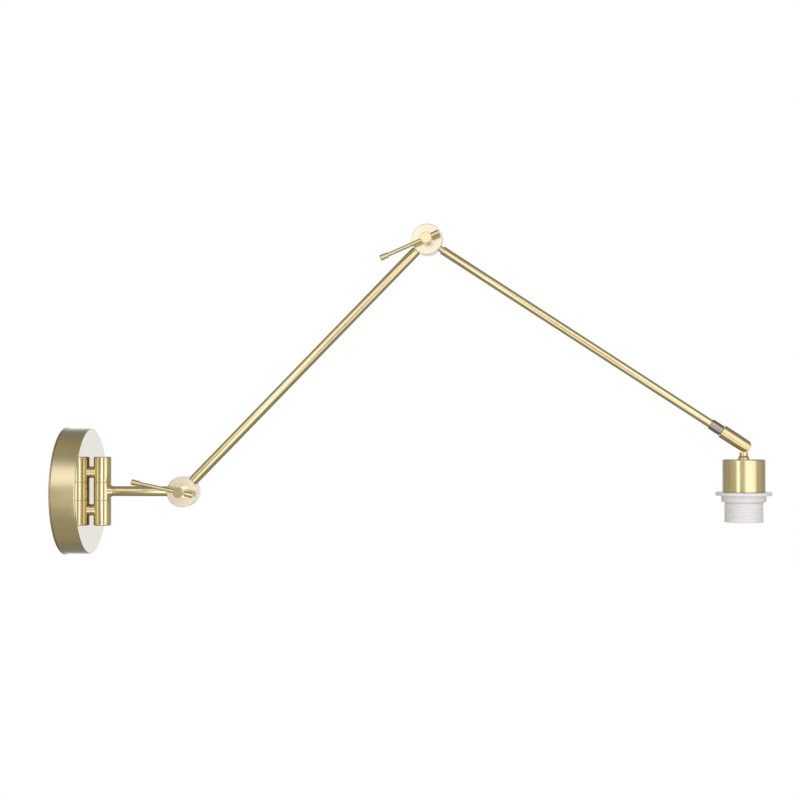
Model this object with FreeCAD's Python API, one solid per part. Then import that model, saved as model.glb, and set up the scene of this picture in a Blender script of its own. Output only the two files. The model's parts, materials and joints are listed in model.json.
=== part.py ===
"""Articulating brass wall lamp with a bare E27 lampholder.

Frame, in millimetres: the origin is the centre of the canopy's back face, on the wall.
+X points away from the wall, +Z is up and -Y is the side that the clamp screws face.
The lamp is modelled in its rest pose: lower arm raised, upper arm sloping down, head hanging plumb.
"""

import FreeCAD, Part
import math
import os

Vector = FreeCAD.Vector
ORIGIN = Vector(0, 0, 0)
X_AXIS = Vector(1, 0, 0)
Y_AXIS = Vector(0, 1, 0)
Z_AXIS = Vector(0, 0, 1)

# ---------------------------------------------------------------- clearances
RUNNING_FIT = 0.05          # radial play of a shaft that turns in its bore
SCREW_PLAY = 0.3            # radial play of a screw in a through hole
FACE_GAP = 0.1              # axial play between faces that turn on each other
SLEEVE_PLAY = 0.2           # radial play of thin sleeves pushed over each other

# ---------------------------------------------------------------- canopy
CANOPY_RADIUS = 65.5
CANOPY_DEPTH = 27.0         # wall to the front of the plate
CANOPY_WALL = 1.2
CANOPY_PLATE = 1.8
CANOPY_EDGE = 1.4           # rounding between the side and the front plate
LIP_STEP = 1.0              # how far the base ring's lip stands out round the canopy
LIP_THICKNESS = 1.4
RING_FLANGE_WIDTH = 18.5    # flat part of the base ring, from its lip inwards
RING_COLLAR_DEPTH = 8.0
RING_COLLAR_WALL = 1.2
GRUB_RADIUS = 1.5
GRUB_LENGTH = 5.0
GRUB_SINK = 0.2             # below the canopy's side
GRUB_SOCKET_FLATS = 1.5
GRUB_SOCKET_DEPTH = 2.0

# ---------------------------------------------------------------- wall bracket
BRACKET_END_GAP = 3.9       # to the base ring's collar
BRACKET_WIDTH = 22.0
BRACKET_THICKNESS = 2.0
RIVET_INSET = 5.0           # from the bracket's end to the rivet
EARTH_INSET = 11.0          # from the rivet to the earthing screw
SLOT_INSET = 6.0            # from the earthing screw to the slot's outer end
WALL_SLOT_LENGTH = 14.0
WALL_SLOT_WIDTH = 4.5
RIVET_RADIUS = 2.0
RIVET_HEAD_RADIUS = 3.6
RIVET_HEAD_HEIGHT = 1.2
RIVET_HEAD_EDGE = 0.6
EARTH_SCREW_RADIUS = 2.0
EARTH_HEAD_RADIUS = 3.8
EARTH_HEAD_HEIGHT = 2.4
EARTH_SHANK_BELOW = 1.2     # how far the screw's end stands out behind the bracket
EARTH_WASHER_SIDE = 9.0
EARTH_WASHER_THICKNESS = 1.0
SCREW_SLOT_WIDTH = 0.8
SCREW_SLOT_DEPTH = 1.0

# ---------------------------------------------------------------- terminal block
BLOCK_POLES = 3
POLE_PITCH = 10.0
BLOCK_WIDTH = 17.0
BLOCK_HEIGHT = 12.0
BLOCK_EDGE = 0.8
WIRE_HOLE_RADIUS = 1.6
WIRE_HOLE_HEIGHT = 5.0      # centre of the wire holes above the bracket
TERMINAL_SCREW_RADIUS = 1.5
TERMINAL_SCREW_LENGTH = 4.5
TERMINAL_SCREW_SPACING = 9.0
TERMINAL_WELL_RADIUS = 2.1
TERMINAL_SCREW_SINK = 1.5

# ---------------------------------------------------------------- barrel swivel
BARREL_X = 38.5             # wall to the swivel axis
BARREL_RADIUS = 9.3
BARREL_HALF_HEIGHT = 36.0
SWING_KNUCKLE_HEIGHT = 18.4
SWIVEL_WASHER_THICKNESS = 0.3
SWIVEL_WASHER_STEP = 0.3    # the washers are this much smaller in radius than the barrel
CAP_HEIGHT = 2.6
CAP_EDGE = 1.3
CAP_SPIGOT_LENGTH = 4.0
PIN_RADIUS = 4.0
PIN_BORE_RADIUS = 2.6
PIN_WINDOW_HEIGHT = 6.0
LEAD_HOLE_RADIUS = 2.2      # every passage for the two leads
STANDOFF_Z = 19.7
STANDOFF_RADIUS = 6.1
STANDOFF_STUD_RADIUS = 4.0
STANDOFF_TAIL = 9.0         # stud behind the canopy plate
STANDOFF_WASHER_RADIUS = 8.0
STANDOFF_WASHER_THICKNESS = 1.2
STANDOFF_NUT_ACROSS_FLATS = 13.0
STANDOFF_NUT_HEIGHT = 4.5

# ---------------------------------------------------------------- clamp joints
DISC_RADIUS = 15.75
DISC_THICKNESS = 11.0
DISC_EDGE = 0.5
DISC_BOSS_RADIUS = 5.5      # round the clamp screw, inside the hollow disc
DISC_RIM_WALL = 2.6
DISC_POCKET_DEPTH = 7.0
JOINT_WASHER_THICKNESS = 0.4
JOINT_WASHER_INNER = 13.0
JOINT_WASHER_STEP = 0.4     # the washer is this much smaller in radius than the discs
CLAMP_SHANK_RADIUS = 3.0
CLAMP_THREAD_DEPTH = 9.0    # blind hole in the back disc
CLAMP_END_GAP = 0.6
CLAMP_HUB_RADIUS = 5.75
CLAMP_HUB_LENGTH = 16.0
CLAMP_HUB_EDGE = 0.4
CLAMP_BAR_HEIGHT = 11.0     # bar axis above the front disc
CLAMP_HUB_GAP = 0.2

# ---------------------------------------------------------------- clamp bars
BAR_RADIUS = 2.1
BAR_LONG_SIDE = 51.0        # screw axis to the far tip
BAR_TIP_RADIUS = 3.0
BAR_TIP_LENGTH = 8.6
BAR_TIP_BORE_DEPTH = 5.0
BAR_TIP_EDGE = 0.5
BAR_TIP_COLLAR = 2.6        # from the inner end to the groove
BAR_TIP_GROOVE_WIDTH = 0.7
BAR_TIP_GROOVE_DEPTH = 0.45
SHOULDER_BAR_ANGLE = 168.0  # direction of the long side, from +X towards +Z
ELBOW_BAR_ANGLE = 203.6

# ---------------------------------------------------------------- arms
SHOULDER_X = 125.8          # wall to the first clamp joint
ARM_TUBE_RADIUS = 5.25      # swing arm and lower arm
ARM_TUBE_WALL = 1.0
UPPER_TUBE_RADIUS = 4.5
UPPER_TUBE_WALL = 1.0
LOWER_ARM_LENGTH = 363.0    # pivot to pivot
LOWER_ARM_ELEVATION = 45.6
UPPER_ARM_LENGTH = 384.0    # elbow pivot to tilt pivot
UPPER_ARM_ELEVATION = -33.25
FRONT_NECK_GAP = 0.2        # lower tube's ends to the discs' rims
BACK_NECK_GAP = 2.1         # swing and upper tubes' ends to the discs' rims
BACK_NECK_RADIUS = 3.1
SPIGOT_LENGTH = 10.0
ROOT_FLARE_RADIUS = 7.0     # flare between the swing knuckle and its tube
ROOT_FLARE_LENGTH = 2.6
ROOT_SPIGOT_LENGTH = 8.0

# ---------------------------------------------------------------- head swivel
COLLAR_RADIUS = 5.6
COLLAR_LENGTH = 13.2
COLLAR_EDGE = 0.3
COLLAR_END_WALL = 1.6       # between the tube's end and the swivel bore
COLLAR_SPIGOT_LENGTH = 10.0
SWIVEL_SPIGOT_RADIUS = 3.6
SWIVEL_SPIGOT_LENGTH = 10.6
RETAINER_THICKNESS = 1.0
RETAINER_GAP_ANGLE = 60.0
RETAINER_BITE = 0.5         # depth of its groove in the spigot
RETAINER_STAND = 0.7        # how far it stands out of the spigot
RETAINER_PLAY = 0.1
FORK_RADIUS = 6.95
FORK_LENGTH = 26.0          # shoulder to tilt pivot
FORK_SLOT = 5.0
FORK_SLOT_DEPTH = 7.4       # slot bottom behind the tilt pivot
FORK_EDGE = 0.4
FORK_COLLAR_GAP = 0.4
FORK_BORE_RADIUS = 1.8
TILT_SCREW_RADIUS = 2.0
TILT_HEAD_RADIUS = 3.4
TILT_HEAD_DEPTH = 2.2
TILT_THREAD_DEPTH = 2.8     # blind hole in the front cheek
TILT_WASHER_RADIUS = 5.0
TILT_WASHER_THICKNESS = 0.3
TONGUE_RADIUS = 6.3
TONGUE_WEB = 8.0
NECK_GAP = 0.45             # between the fork's rounded end and the neck
NECK_LENGTH = 3.3
NECK_RADIUS = 4.4
NECK_CROSS_HOLE_RADIUS = 1.4
CONE_RADIUS = 5.9
CONE_HEIGHT = 3.6
CONE_LAND = 1.2

# ---------------------------------------------------------------- lampholder
CUP_RADIUS = 21.8
CUP_HEIGHT = 33.2
CUP_WALL = 0.8
CUP_EDGE = 1.4
NIPPLE_RADIUS = 4.0
NIPPLE_BORE_RADIUS = 2.2
LOCKNUT_ACROSS_FLATS = 13.0
LOCKNUT_HEIGHT = 4.0
NIPPLE_OVERRUN = 1.5
HOLDER_CAP_RADIUS = 19.2
HOLDER_CAP_WALL = 1.6
HOLDER_CAP_PLATE = 2.0
HOLDER_CAP_HEIGHT = 20.7
SKIRT_RADIUS = 19.73        # crests of the outside thread
SKIRT_BORE_RADIUS = 17.3
SKIRT_LENGTH = 42.35
SKIRT_MOUTH_LIP = 1.0       # inward lip that holds the insert
SKIRT_MOUTH_LIP_THICKNESS = 1.6
INSERT_PLAY = 0.1
INSERT_BASE = 12.0
INSERT_TOP_GAP = 1.0        # below the joint of holder cap and skirt
SHELL_BORE_RADIUS = 13.3    # clears the thread of an E27 lamp cap
SHELL_WALL = 0.6
SHELL_LENGTH = 22.0
SHELL_MOUTH_RECESS = 2.0    # behind the insert's mouth
CONTACT_WIDTH = 6.0
CONTACT_THICKNESS = 0.5
CONTACT_RISE = 2.6
CONTACT_BUTTON_RADIUS = 2.4
CONTACT_BUTTON_LENGTH = 1.8
CONTACT_SCREW_X = 9.0       # to either side of the head's axis
CONTACT_SCREW_RADIUS = 1.5
CONTACT_HEAD_RADIUS = 2.8
CONTACT_HEAD_HEIGHT = 2.0

# ---------------------------------------------------------------- shade ring
FLANGE_RADIUS = 28.5
FLANGE_THICKNESS = 3.4
FLANGE_GAP = 0.2            # below the cup's mouth
RING_COLLAR_RADIUS = 22.7
RING_COLLAR_HEIGHT = 6.6
RING_COLLAR_EDGE = 1.6
RING_THREAD_PLAY = 0.22
FLANGE_EDGE = 0.8

# ---------------------------------------------------------------- derived places
JOINT_PITCH = DISC_THICKNESS + JOINT_WASHER_THICKNESS + FACE_GAP
FRONT_PLANE_Y = -JOINT_PITCH
FRONT_FACE_Y = FRONT_PLANE_Y - DISC_THICKNESS / 2
BAR_AXIS_Y = FRONT_FACE_Y - CLAMP_BAR_HEIGHT
BAR_SHORT_SIDE = CLAMP_HUB_RADIUS + BAR_TIP_LENGTH
RING_COLLAR_OUTSIDE = CANOPY_RADIUS - CANOPY_WALL - SLEEVE_PLAY
RING_COLLAR_INSIDE = RING_COLLAR_OUTSIDE - RING_COLLAR_WALL
BRACKET_REACH = RING_COLLAR_INSIDE - BRACKET_END_GAP    # from the centre to each end
RIVET_OFFSET = BRACKET_REACH - RIVET_INSET
EARTH_OFFSET = RIVET_OFFSET - EARTH_INSET
WALL_SCREW_OFFSET = EARTH_OFFSET - SLOT_INSET - WALL_SLOT_LENGTH / 2
SHOULDER = Vector(SHOULDER_X, 0, 0)


def arm_end(start, length, elevation):
    """Point at the far end of an arm that leaves start at the given elevation in degrees."""
    angle = math.radians(elevation)
    return start + Vector(length * math.cos(angle), 0, length * math.sin(angle))


ELBOW = arm_end(SHOULDER, LOWER_ARM_LENGTH, LOWER_ARM_ELEVATION)
TILT_PIVOT = arm_end(ELBOW, UPPER_ARM_LENGTH, UPPER_ARM_ELEVATION)


# ---------------------------------------------------------------- general shapes
def cylinder(radius, start, axis, length):
    """Round bar from the point start along axis."""
    return Part.makeCylinder(radius, length, start, axis)


def hollow_cylinder(outer, inner, start, axis, length):
    """Round tube from the point start along axis."""
    return cylinder(outer, start, axis, length).cut(cylinder(inner, start, axis, length))


def box(low, high):
    """Box between two corner points."""
    size = high - low
    return Part.makeBox(size.x, size.y, size.z, low)


def centred_box(centre, size_x, size_y, size_z):
    """Box of the given sizes about a centre point."""
    half = Vector(size_x / 2, size_y / 2, size_z / 2)
    return box(centre - half, centre + half)


def hexagon_bar(across_flats, start, axis, length):
    """Six-sided bar from the point start along axis."""
    corner = across_flats / math.sqrt(3)
    points = []
    for side in range(6):
        angle = math.radians(60 * side)
        points.append(Vector(corner * math.cos(angle), corner * math.sin(angle), 0))
    points.append(points[0])
    bar = Part.Face(Part.makePolygon(points)).extrude(Vector(0, 0, length))
    return along(bar, start, axis)


def along(shape, start, axis):
    """Copy of a shape made about +Z from the origin, turned so that +Z runs along axis from start."""
    placed = shape.copy()
    placed.Placement = FreeCAD.Placement(start, FreeCAD.Rotation(Z_AXIS, axis))
    return placed


def turned(outline, start, axis):
    """Lathe-turned solid. The outline is a closed row of (radius, height) corners about axis.

    A third value rounds a right-angled corner by that radius.
    """
    edges = []
    for index, corner in enumerate(outline):
        here = Vector(corner[0], 0, corner[1])
        rounding = corner[2] if len(corner) > 2 else 0
        to_last = direction_to(here, outline[index - 1])
        to_next = direction_to(here, outline[(index + 1) % len(outline)])
        arrive = here + to_last * rounding
        leave = here + to_next * rounding
        if rounding > 0:
            middle = here + (to_last + to_next) * rounding * (1 - math.sqrt(0.5))
            edges.append(Part.Arc(arrive, middle, leave).toShape())
        next_corner = outline[(index + 1) % len(outline)]
        next_rounding = next_corner[2] if len(next_corner) > 2 else 0
        next_arrive = Vector(next_corner[0], 0, next_corner[1]) - to_next * next_rounding
        edges.append(Part.LineSegment(leave, next_arrive).toShape())
    solid = Part.Face(Part.Wire(edges)).revolve(ORIGIN, Z_AXIS, 360)
    return along(solid, start, axis)


def direction_to(here, corner):
    """Unit vector from a point to an outline's corner."""
    return (Vector(corner[0], 0, corner[1]) - here).normalize()


def chamfered_bar(radius, length, first_edge, last_edge, start, axis):
    """Round bar with a chamfer at each end; a chamfer of nought leaves a sharp edge."""
    outline = [(0, 0), (radius - first_edge, 0)]
    if first_edge > 0:
        outline.append((radius, first_edge))
    outline.append((radius, length - last_edge))
    if last_edge > 0:
        outline.append((radius - last_edge, length))
    outline.append((0, length))
    return turned(outline, start, axis)


def in_arm_frame(shape, pivot, elevation):
    """Copy of a shape drawn along +X from the origin, raised by elevation and moved to pivot."""
    placed = shape.copy()
    placed.rotate(ORIGIN, Y_AXIS, -elevation)
    placed.translate(pivot)
    return placed


def mirrored_in_z(shape):
    """The same shape on the other side of the level plane through the origin."""
    return shape.mirror(ORIGIN, Z_AXIS)


# ---------------------------------------------------------------- wall side
def canopy_base_ring():
    """Pressed ring that lies on the wall; its lip shows all round behind the canopy."""
    lip_radius = CANOPY_RADIUS + LIP_STEP
    opening = lip_radius - RING_FLANGE_WIDTH
    collar_top = LIP_THICKNESS + RING_COLLAR_DEPTH
    outline = [
        (opening, 0),
        (lip_radius, 0),
        (lip_radius, LIP_THICKNESS),
        (RING_COLLAR_OUTSIDE, LIP_THICKNESS),
        (RING_COLLAR_OUTSIDE, collar_top),
        (RING_COLLAR_INSIDE, collar_top),
        (RING_COLLAR_INSIDE, LIP_THICKNESS),
        (opening, LIP_THICKNESS),
    ]
    ring = turned(outline, ORIGIN, X_AXIS)
    for hole in grub_bars(GRUB_RADIUS, CANOPY_RADIUS - GRUB_SINK, GRUB_LENGTH):
        ring = ring.cut(hole)
    for y in (-RIVET_OFFSET, RIVET_OFFSET):
        ring = ring.cut(cylinder(RIVET_RADIUS, Vector(0, y, 0), X_AXIS, LIP_THICKNESS))
    return ring


def grub_bars(radius, top, length):
    """Two radial bars where the canopy's grub screws go, above and below, each ending at radius top."""
    x = LIP_THICKNESS + RING_COLLAR_DEPTH / 2
    upper = cylinder(radius, Vector(x, 0, top - length), Z_AXIS, length)
    return [upper, mirrored_in_z(upper)]


def canopy_screws():
    """Hexagon-socket grub screws that hold the canopy on the base ring's collar."""
    top = CANOPY_RADIUS - GRUB_SINK
    x = LIP_THICKNESS + RING_COLLAR_DEPTH / 2
    socket = hexagon_bar(GRUB_SOCKET_FLATS, Vector(x, 0, top - GRUB_SOCKET_DEPTH), Z_AXIS, GRUB_SOCKET_DEPTH)
    upper = grub_bars(GRUB_RADIUS, top, GRUB_LENGTH)[0].cut(socket)
    return [upper, mirrored_in_z(upper)]


def canopy():
    """Drawn brass cover: a side wall and a flat front plate, with holes for the two stand-offs."""
    inner = CANOPY_RADIUS - CANOPY_WALL
    plate_back = CANOPY_DEPTH - CANOPY_PLATE
    outline = [
        (0, plate_back),
        (inner, plate_back),
        (inner, LIP_THICKNESS),
        (CANOPY_RADIUS, LIP_THICKNESS),
        (CANOPY_RADIUS, CANOPY_DEPTH, CANOPY_EDGE),
        (0, CANOPY_DEPTH),
    ]
    cover = turned(outline, ORIGIN, X_AXIS)
    for z in (-STANDOFF_Z, STANDOFF_Z):
        hole = cylinder(STANDOFF_STUD_RADIUS, Vector(plate_back, 0, z), X_AXIS, CANOPY_PLATE)
        cover = cover.cut(hole)
    for hole in grub_bars(GRUB_RADIUS + SCREW_PLAY, CANOPY_RADIUS, 2 * CANOPY_WALL):
        cover = cover.cut(hole)
    return cover


def wall_bracket():
    """Steel crossbar with two slots for the wall screws, riveted over the base ring."""
    bar = box(
        Vector(LIP_THICKNESS, -BRACKET_REACH, -BRACKET_WIDTH / 2),
        Vector(LIP_THICKNESS + BRACKET_THICKNESS, BRACKET_REACH, BRACKET_WIDTH / 2),
    )
    start = LIP_THICKNESS
    for side in (-1, 1):
        centre_y = side * WALL_SCREW_OFFSET
        straight = WALL_SLOT_LENGTH - WALL_SLOT_WIDTH
        middle = Vector(start + BRACKET_THICKNESS / 2, centre_y, 0)
        slot = centred_box(middle, BRACKET_THICKNESS, straight, WALL_SLOT_WIDTH)
        for end in (-straight / 2, straight / 2):
            place = Vector(start, centre_y + end, 0)
            slot = slot.fuse(cylinder(WALL_SLOT_WIDTH / 2, place, X_AXIS, BRACKET_THICKNESS))
        bar = bar.cut(slot)
        rivet_place = Vector(start, side * RIVET_OFFSET, 0)
        bar = bar.cut(cylinder(RIVET_RADIUS, rivet_place, X_AXIS, BRACKET_THICKNESS))
    earth_place = Vector(start, EARTH_OFFSET, 0)
    return bar.cut(cylinder(EARTH_SCREW_RADIUS, earth_place, X_AXIS, BRACKET_THICKNESS))


def bracket_rivets():
    """Two rivets that join the bracket to the base ring, flush at the wall."""
    front = LIP_THICKNESS + BRACKET_THICKNESS
    rivets = []
    for side in (-1, 1):
        y = side * RIVET_OFFSET
        shank = cylinder(RIVET_RADIUS, Vector(0, y, 0), X_AXIS, front)
        outline = [
            (0, 0),
            (RIVET_HEAD_RADIUS, 0),
            (RIVET_HEAD_RADIUS, RIVET_HEAD_HEIGHT, RIVET_HEAD_EDGE),
            (0, RIVET_HEAD_HEIGHT),
        ]
        head = turned(outline, Vector(front, y, 0), X_AXIS)
        rivets.append(shank.fuse(head).removeSplitter())
    return rivets


def slotted(head, centre, width, depth, across):
    """Screw head with a driver slot cut into its +X side, running along Z."""
    slot = centred_box(centre - Vector(depth / 2, 0, 0), depth, width, across)
    return head.cut(slot)


def earth_screw():
    """Earthing screw in the bracket."""
    start = LIP_THICKNESS + BRACKET_THICKNESS + EARTH_WASHER_THICKNESS
    below = LIP_THICKNESS - EARTH_SHANK_BELOW
    shank = cylinder(EARTH_SCREW_RADIUS, Vector(below, EARTH_OFFSET, 0), X_AXIS, start - below)
    head = cylinder(EARTH_HEAD_RADIUS, Vector(start, EARTH_OFFSET, 0), X_AXIS, EARTH_HEAD_HEIGHT)
    top = Vector(start + EARTH_HEAD_HEIGHT, EARTH_OFFSET, 0)
    head = slotted(head, top, SCREW_SLOT_WIDTH, SCREW_SLOT_DEPTH, 2 * EARTH_HEAD_RADIUS)
    return shank.fuse(head).removeSplitter()


def earth_washer():
    """Square clamping washer under the earthing screw's head."""
    start = LIP_THICKNESS + BRACKET_THICKNESS
    middle = Vector(start + EARTH_WASHER_THICKNESS / 2, EARTH_OFFSET, 0)
    plate = centred_box(middle, EARTH_WASHER_THICKNESS, EARTH_WASHER_SIDE, EARTH_WASHER_SIDE)
    hole_start = Vector(start, EARTH_OFFSET, 0)
    return plate.cut(cylinder(EARTH_SCREW_RADIUS, hole_start, X_AXIS, EARTH_WASHER_THICKNESS))


def pole_centres():
    """Y of each terminal pole."""
    first = -(BLOCK_POLES - 1) * POLE_PITCH / 2
    return [first + POLE_PITCH * pole for pole in range(BLOCK_POLES)]


def terminal_block():
    """Plastic block with a wire passage and two screw wells for each pole."""
    start = LIP_THICKNESS + BRACKET_THICKNESS
    half_length = BLOCK_POLES * POLE_PITCH / 2
    block = box(
        Vector(start, -half_length, -BLOCK_WIDTH / 2),
        Vector(start + BLOCK_HEIGHT, half_length, BLOCK_WIDTH / 2),
    )
    upright = [edge for edge in block.Edges if abs(edge.tangentAt(edge.FirstParameter).x) > 0.5]
    block = block.makeFillet(BLOCK_EDGE, upright)
    well_depth = BLOCK_HEIGHT - WIRE_HOLE_HEIGHT
    for y in pole_centres():
        passage = Vector(start + WIRE_HOLE_HEIGHT, y, -BLOCK_WIDTH / 2)
        block = block.cut(cylinder(WIRE_HOLE_RADIUS, passage, Z_AXIS, BLOCK_WIDTH))
        for z in (-TERMINAL_SCREW_SPACING / 2, TERMINAL_SCREW_SPACING / 2):
            well = Vector(start + WIRE_HOLE_HEIGHT, y, z)
            block = block.cut(cylinder(TERMINAL_WELL_RADIUS, well, X_AXIS, well_depth))
    return block


def terminal_screws():
    """Two slotted screws in each pole, standing in their wells on the wire passage."""
    top = LIP_THICKNESS + BRACKET_THICKNESS + BLOCK_HEIGHT - TERMINAL_SCREW_SINK
    screws = []
    for y in pole_centres():
        for z in (-TERMINAL_SCREW_SPACING / 2, TERMINAL_SCREW_SPACING / 2):
            foot = Vector(top - TERMINAL_SCREW_LENGTH, y, z)
            thread = cylinder(TERMINAL_SCREW_RADIUS, foot, X_AXIS, TERMINAL_SCREW_LENGTH)
            head_start = Vector(top - SCREW_SLOT_DEPTH * 2, y, z)
            head = cylinder(TERMINAL_WELL_RADIUS, head_start, X_AXIS, SCREW_SLOT_DEPTH * 2)
            screw = thread.fuse(head).removeSplitter()
            slot_top = Vector(top, y, z)
            across = 2 * TERMINAL_WELL_RADIUS
            screws.append(slotted(screw, slot_top, SCREW_SLOT_WIDTH, SCREW_SLOT_DEPTH, across))
    return screws


# ---------------------------------------------------------------- barrel swivel
BARREL_AXIS = Vector(BARREL_X, 0, 0)
PIN_TOP = BARREL_HALF_HEIGHT - CAP_HEIGHT
FIXED_KNUCKLE_START = SWING_KNUCKLE_HEIGHT / 2 + SWIVEL_WASHER_THICKNESS + FACE_GAP


def knuckle_standoffs():
    """Hollow studs that carry the barrel in front of the canopy; the leads pass through them."""
    tail_start = CANOPY_DEPTH - CANOPY_PLATE - STANDOFF_TAIL
    shoulder_length = BARREL_X - CANOPY_DEPTH
    barrel = cylinder(BARREL_RADIUS, Vector(BARREL_X, 0, 0), Z_AXIS, BARREL_HALF_HEIGHT)
    shoulder = cylinder(STANDOFF_RADIUS, Vector(CANOPY_DEPTH, 0, STANDOFF_Z), X_AXIS, shoulder_length)
    shoulder = shoulder.cut(barrel)
    stud_length = BARREL_X - PIN_RADIUS - tail_start
    stud = cylinder(STANDOFF_STUD_RADIUS, Vector(tail_start, 0, STANDOFF_Z), X_AXIS, stud_length)
    pin = cylinder(PIN_RADIUS, Vector(BARREL_X, 0, 0), Z_AXIS, BARREL_HALF_HEIGHT)
    bore = cylinder(LEAD_HOLE_RADIUS, Vector(tail_start, 0, STANDOFF_Z), X_AXIS, stud_length)
    upper = shoulder.fuse(stud).cut(pin).cut(bore).removeSplitter()
    return [upper, mirrored_in_z(upper)]


def standoff_washers():
    """Washers behind the canopy plate."""
    start = CANOPY_DEPTH - CANOPY_PLATE - STANDOFF_WASHER_THICKNESS
    washers = []
    for z in (STANDOFF_Z, -STANDOFF_Z):
        place = Vector(start, 0, z)
        washer = hollow_cylinder(
            STANDOFF_WASHER_RADIUS, STANDOFF_STUD_RADIUS, place, X_AXIS, STANDOFF_WASHER_THICKNESS)
        washers.append(washer)
    return washers


def standoff_nuts():
    """Hexagon nuts that draw the stand-offs against the canopy plate."""
    start = CANOPY_DEPTH - CANOPY_PLATE - STANDOFF_WASHER_THICKNESS - STANDOFF_NUT_HEIGHT
    nuts = []
    for z in (STANDOFF_Z, -STANDOFF_Z):
        place = Vector(start, 0, z)
        nut = hexagon_bar(STANDOFF_NUT_ACROSS_FLATS, place, X_AXIS, STANDOFF_NUT_HEIGHT)
        nuts.append(nut.cut(cylinder(STANDOFF_STUD_RADIUS, place, X_AXIS, STANDOFF_NUT_HEIGHT)))
    return nuts


def upper_knuckle():
    """Fixed top length of the barrel, bored for the pin and tapped for its stand-off."""
    start = Vector(BARREL_X, 0, FIXED_KNUCKLE_START)
    length = PIN_TOP - FIXED_KNUCKLE_START
    body = hollow_cylinder(BARREL_RADIUS, PIN_RADIUS, start, Z_AXIS, length)
    stud_hole = Vector(BARREL_X - BARREL_RADIUS, 0, STANDOFF_Z)
    return body.cut(cylinder(STANDOFF_STUD_RADIUS, stud_hole, X_AXIS, BARREL_RADIUS))


def lower_knuckle():
    """Fixed bottom length of the barrel."""
    return mirrored_in_z(upper_knuckle())


def swivel_tube_pin():
    """Hollow pin through the barrel, with side holes at the stand-offs and a window at the arm."""
    start = Vector(BARREL_X, 0, -PIN_TOP)
    pin = hollow_cylinder(PIN_RADIUS, PIN_BORE_RADIUS, start, Z_AXIS, 2 * PIN_TOP)
    for z in (-STANDOFF_Z, STANDOFF_Z):
        side_hole = Vector(BARREL_X - PIN_RADIUS, 0, z)
        pin = pin.cut(cylinder(LEAD_HOLE_RADIUS, side_hole, X_AXIS, PIN_RADIUS))
    window = box(
        Vector(BARREL_X, -PIN_RADIUS, -PIN_WINDOW_HEIGHT / 2),
        Vector(BARREL_X + PIN_RADIUS, PIN_RADIUS, PIN_WINDOW_HEIGHT / 2),
    )
    return pin.cut(window)


def barrel_caps():
    """End caps with rounded edges, each plugged into the hollow pin."""
    outline = [(0, 0), (BARREL_RADIUS, 0), (BARREL_RADIUS, CAP_HEIGHT, CAP_EDGE), (0, CAP_HEIGHT)]
    cap = turned(outline, Vector(BARREL_X, 0, PIN_TOP), Z_AXIS)
    plug_start = Vector(BARREL_X, 0, PIN_TOP - CAP_SPIGOT_LENGTH)
    plug = cylinder(PIN_BORE_RADIUS, plug_start, Z_AXIS, CAP_SPIGOT_LENGTH)
    upper = cap.fuse(plug).removeSplitter()
    return [upper, mirrored_in_z(upper)]


def swivel_washers():
    """Thin washers in the two seams of the barrel, lying on the fixed knuckles."""
    start = Vector(BARREL_X, 0, SWING_KNUCKLE_HEIGHT / 2 + FACE_GAP)
    outer = BARREL_RADIUS - SWIVEL_WASHER_STEP
    washer = hollow_cylinder(outer, PIN_RADIUS, start, Z_AXIS, SWIVEL_WASHER_THICKNESS)
    return [washer, mirrored_in_z(washer)]


# ---------------------------------------------------------------- swing arm
SWING_TUBE_START = BARREL_X + BARREL_RADIUS + ROOT_FLARE_LENGTH


def swing_knuckle():
    """Turning middle length of the barrel, with the flared root of the swing arm."""
    bottom = Vector(BARREL_X, 0, -SWING_KNUCKLE_HEIGHT / 2)
    body = cylinder(BARREL_RADIUS, bottom, Z_AXIS, SWING_KNUCKLE_HEIGHT)
    reach = BARREL_RADIUS + ROOT_FLARE_LENGTH
    sink = math.sqrt(BARREL_RADIUS ** 2 - ROOT_FLARE_RADIUS ** 2)
    flare = turned(
        [(0, 0), (ROOT_FLARE_RADIUS, 0), (ROOT_FLARE_RADIUS, sink), (ARM_TUBE_RADIUS, reach), (0, reach)],
        BARREL_AXIS, X_AXIS)
    spigot_radius = ARM_TUBE_RADIUS - ARM_TUBE_WALL
    spigot = cylinder(spigot_radius, Vector(SWING_TUBE_START, 0, 0), X_AXIS, ROOT_SPIGOT_LENGTH)
    knuckle = body.fuse(flare).fuse(spigot).removeSplitter()
    pin_bore = cylinder(PIN_RADIUS + RUNNING_FIT, bottom, Z_AXIS, SWING_KNUCKLE_HEIGHT)
    lead_bore = cylinder(LEAD_HOLE_RADIUS, BARREL_AXIS, X_AXIS, reach + ROOT_SPIGOT_LENGTH)
    return knuckle.cut(pin_bore).cut(lead_bore)


def swing_tube():
    """Short level tube between the barrel and the shoulder."""
    end = SHOULDER_X - DISC_RADIUS - BACK_NECK_GAP
    inner = ARM_TUBE_RADIUS - ARM_TUBE_WALL
    start = Vector(SWING_TUBE_START, 0, 0)
    return hollow_cylinder(ARM_TUBE_RADIUS, inner, start, X_AXIS, end - SWING_TUBE_START)


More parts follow.
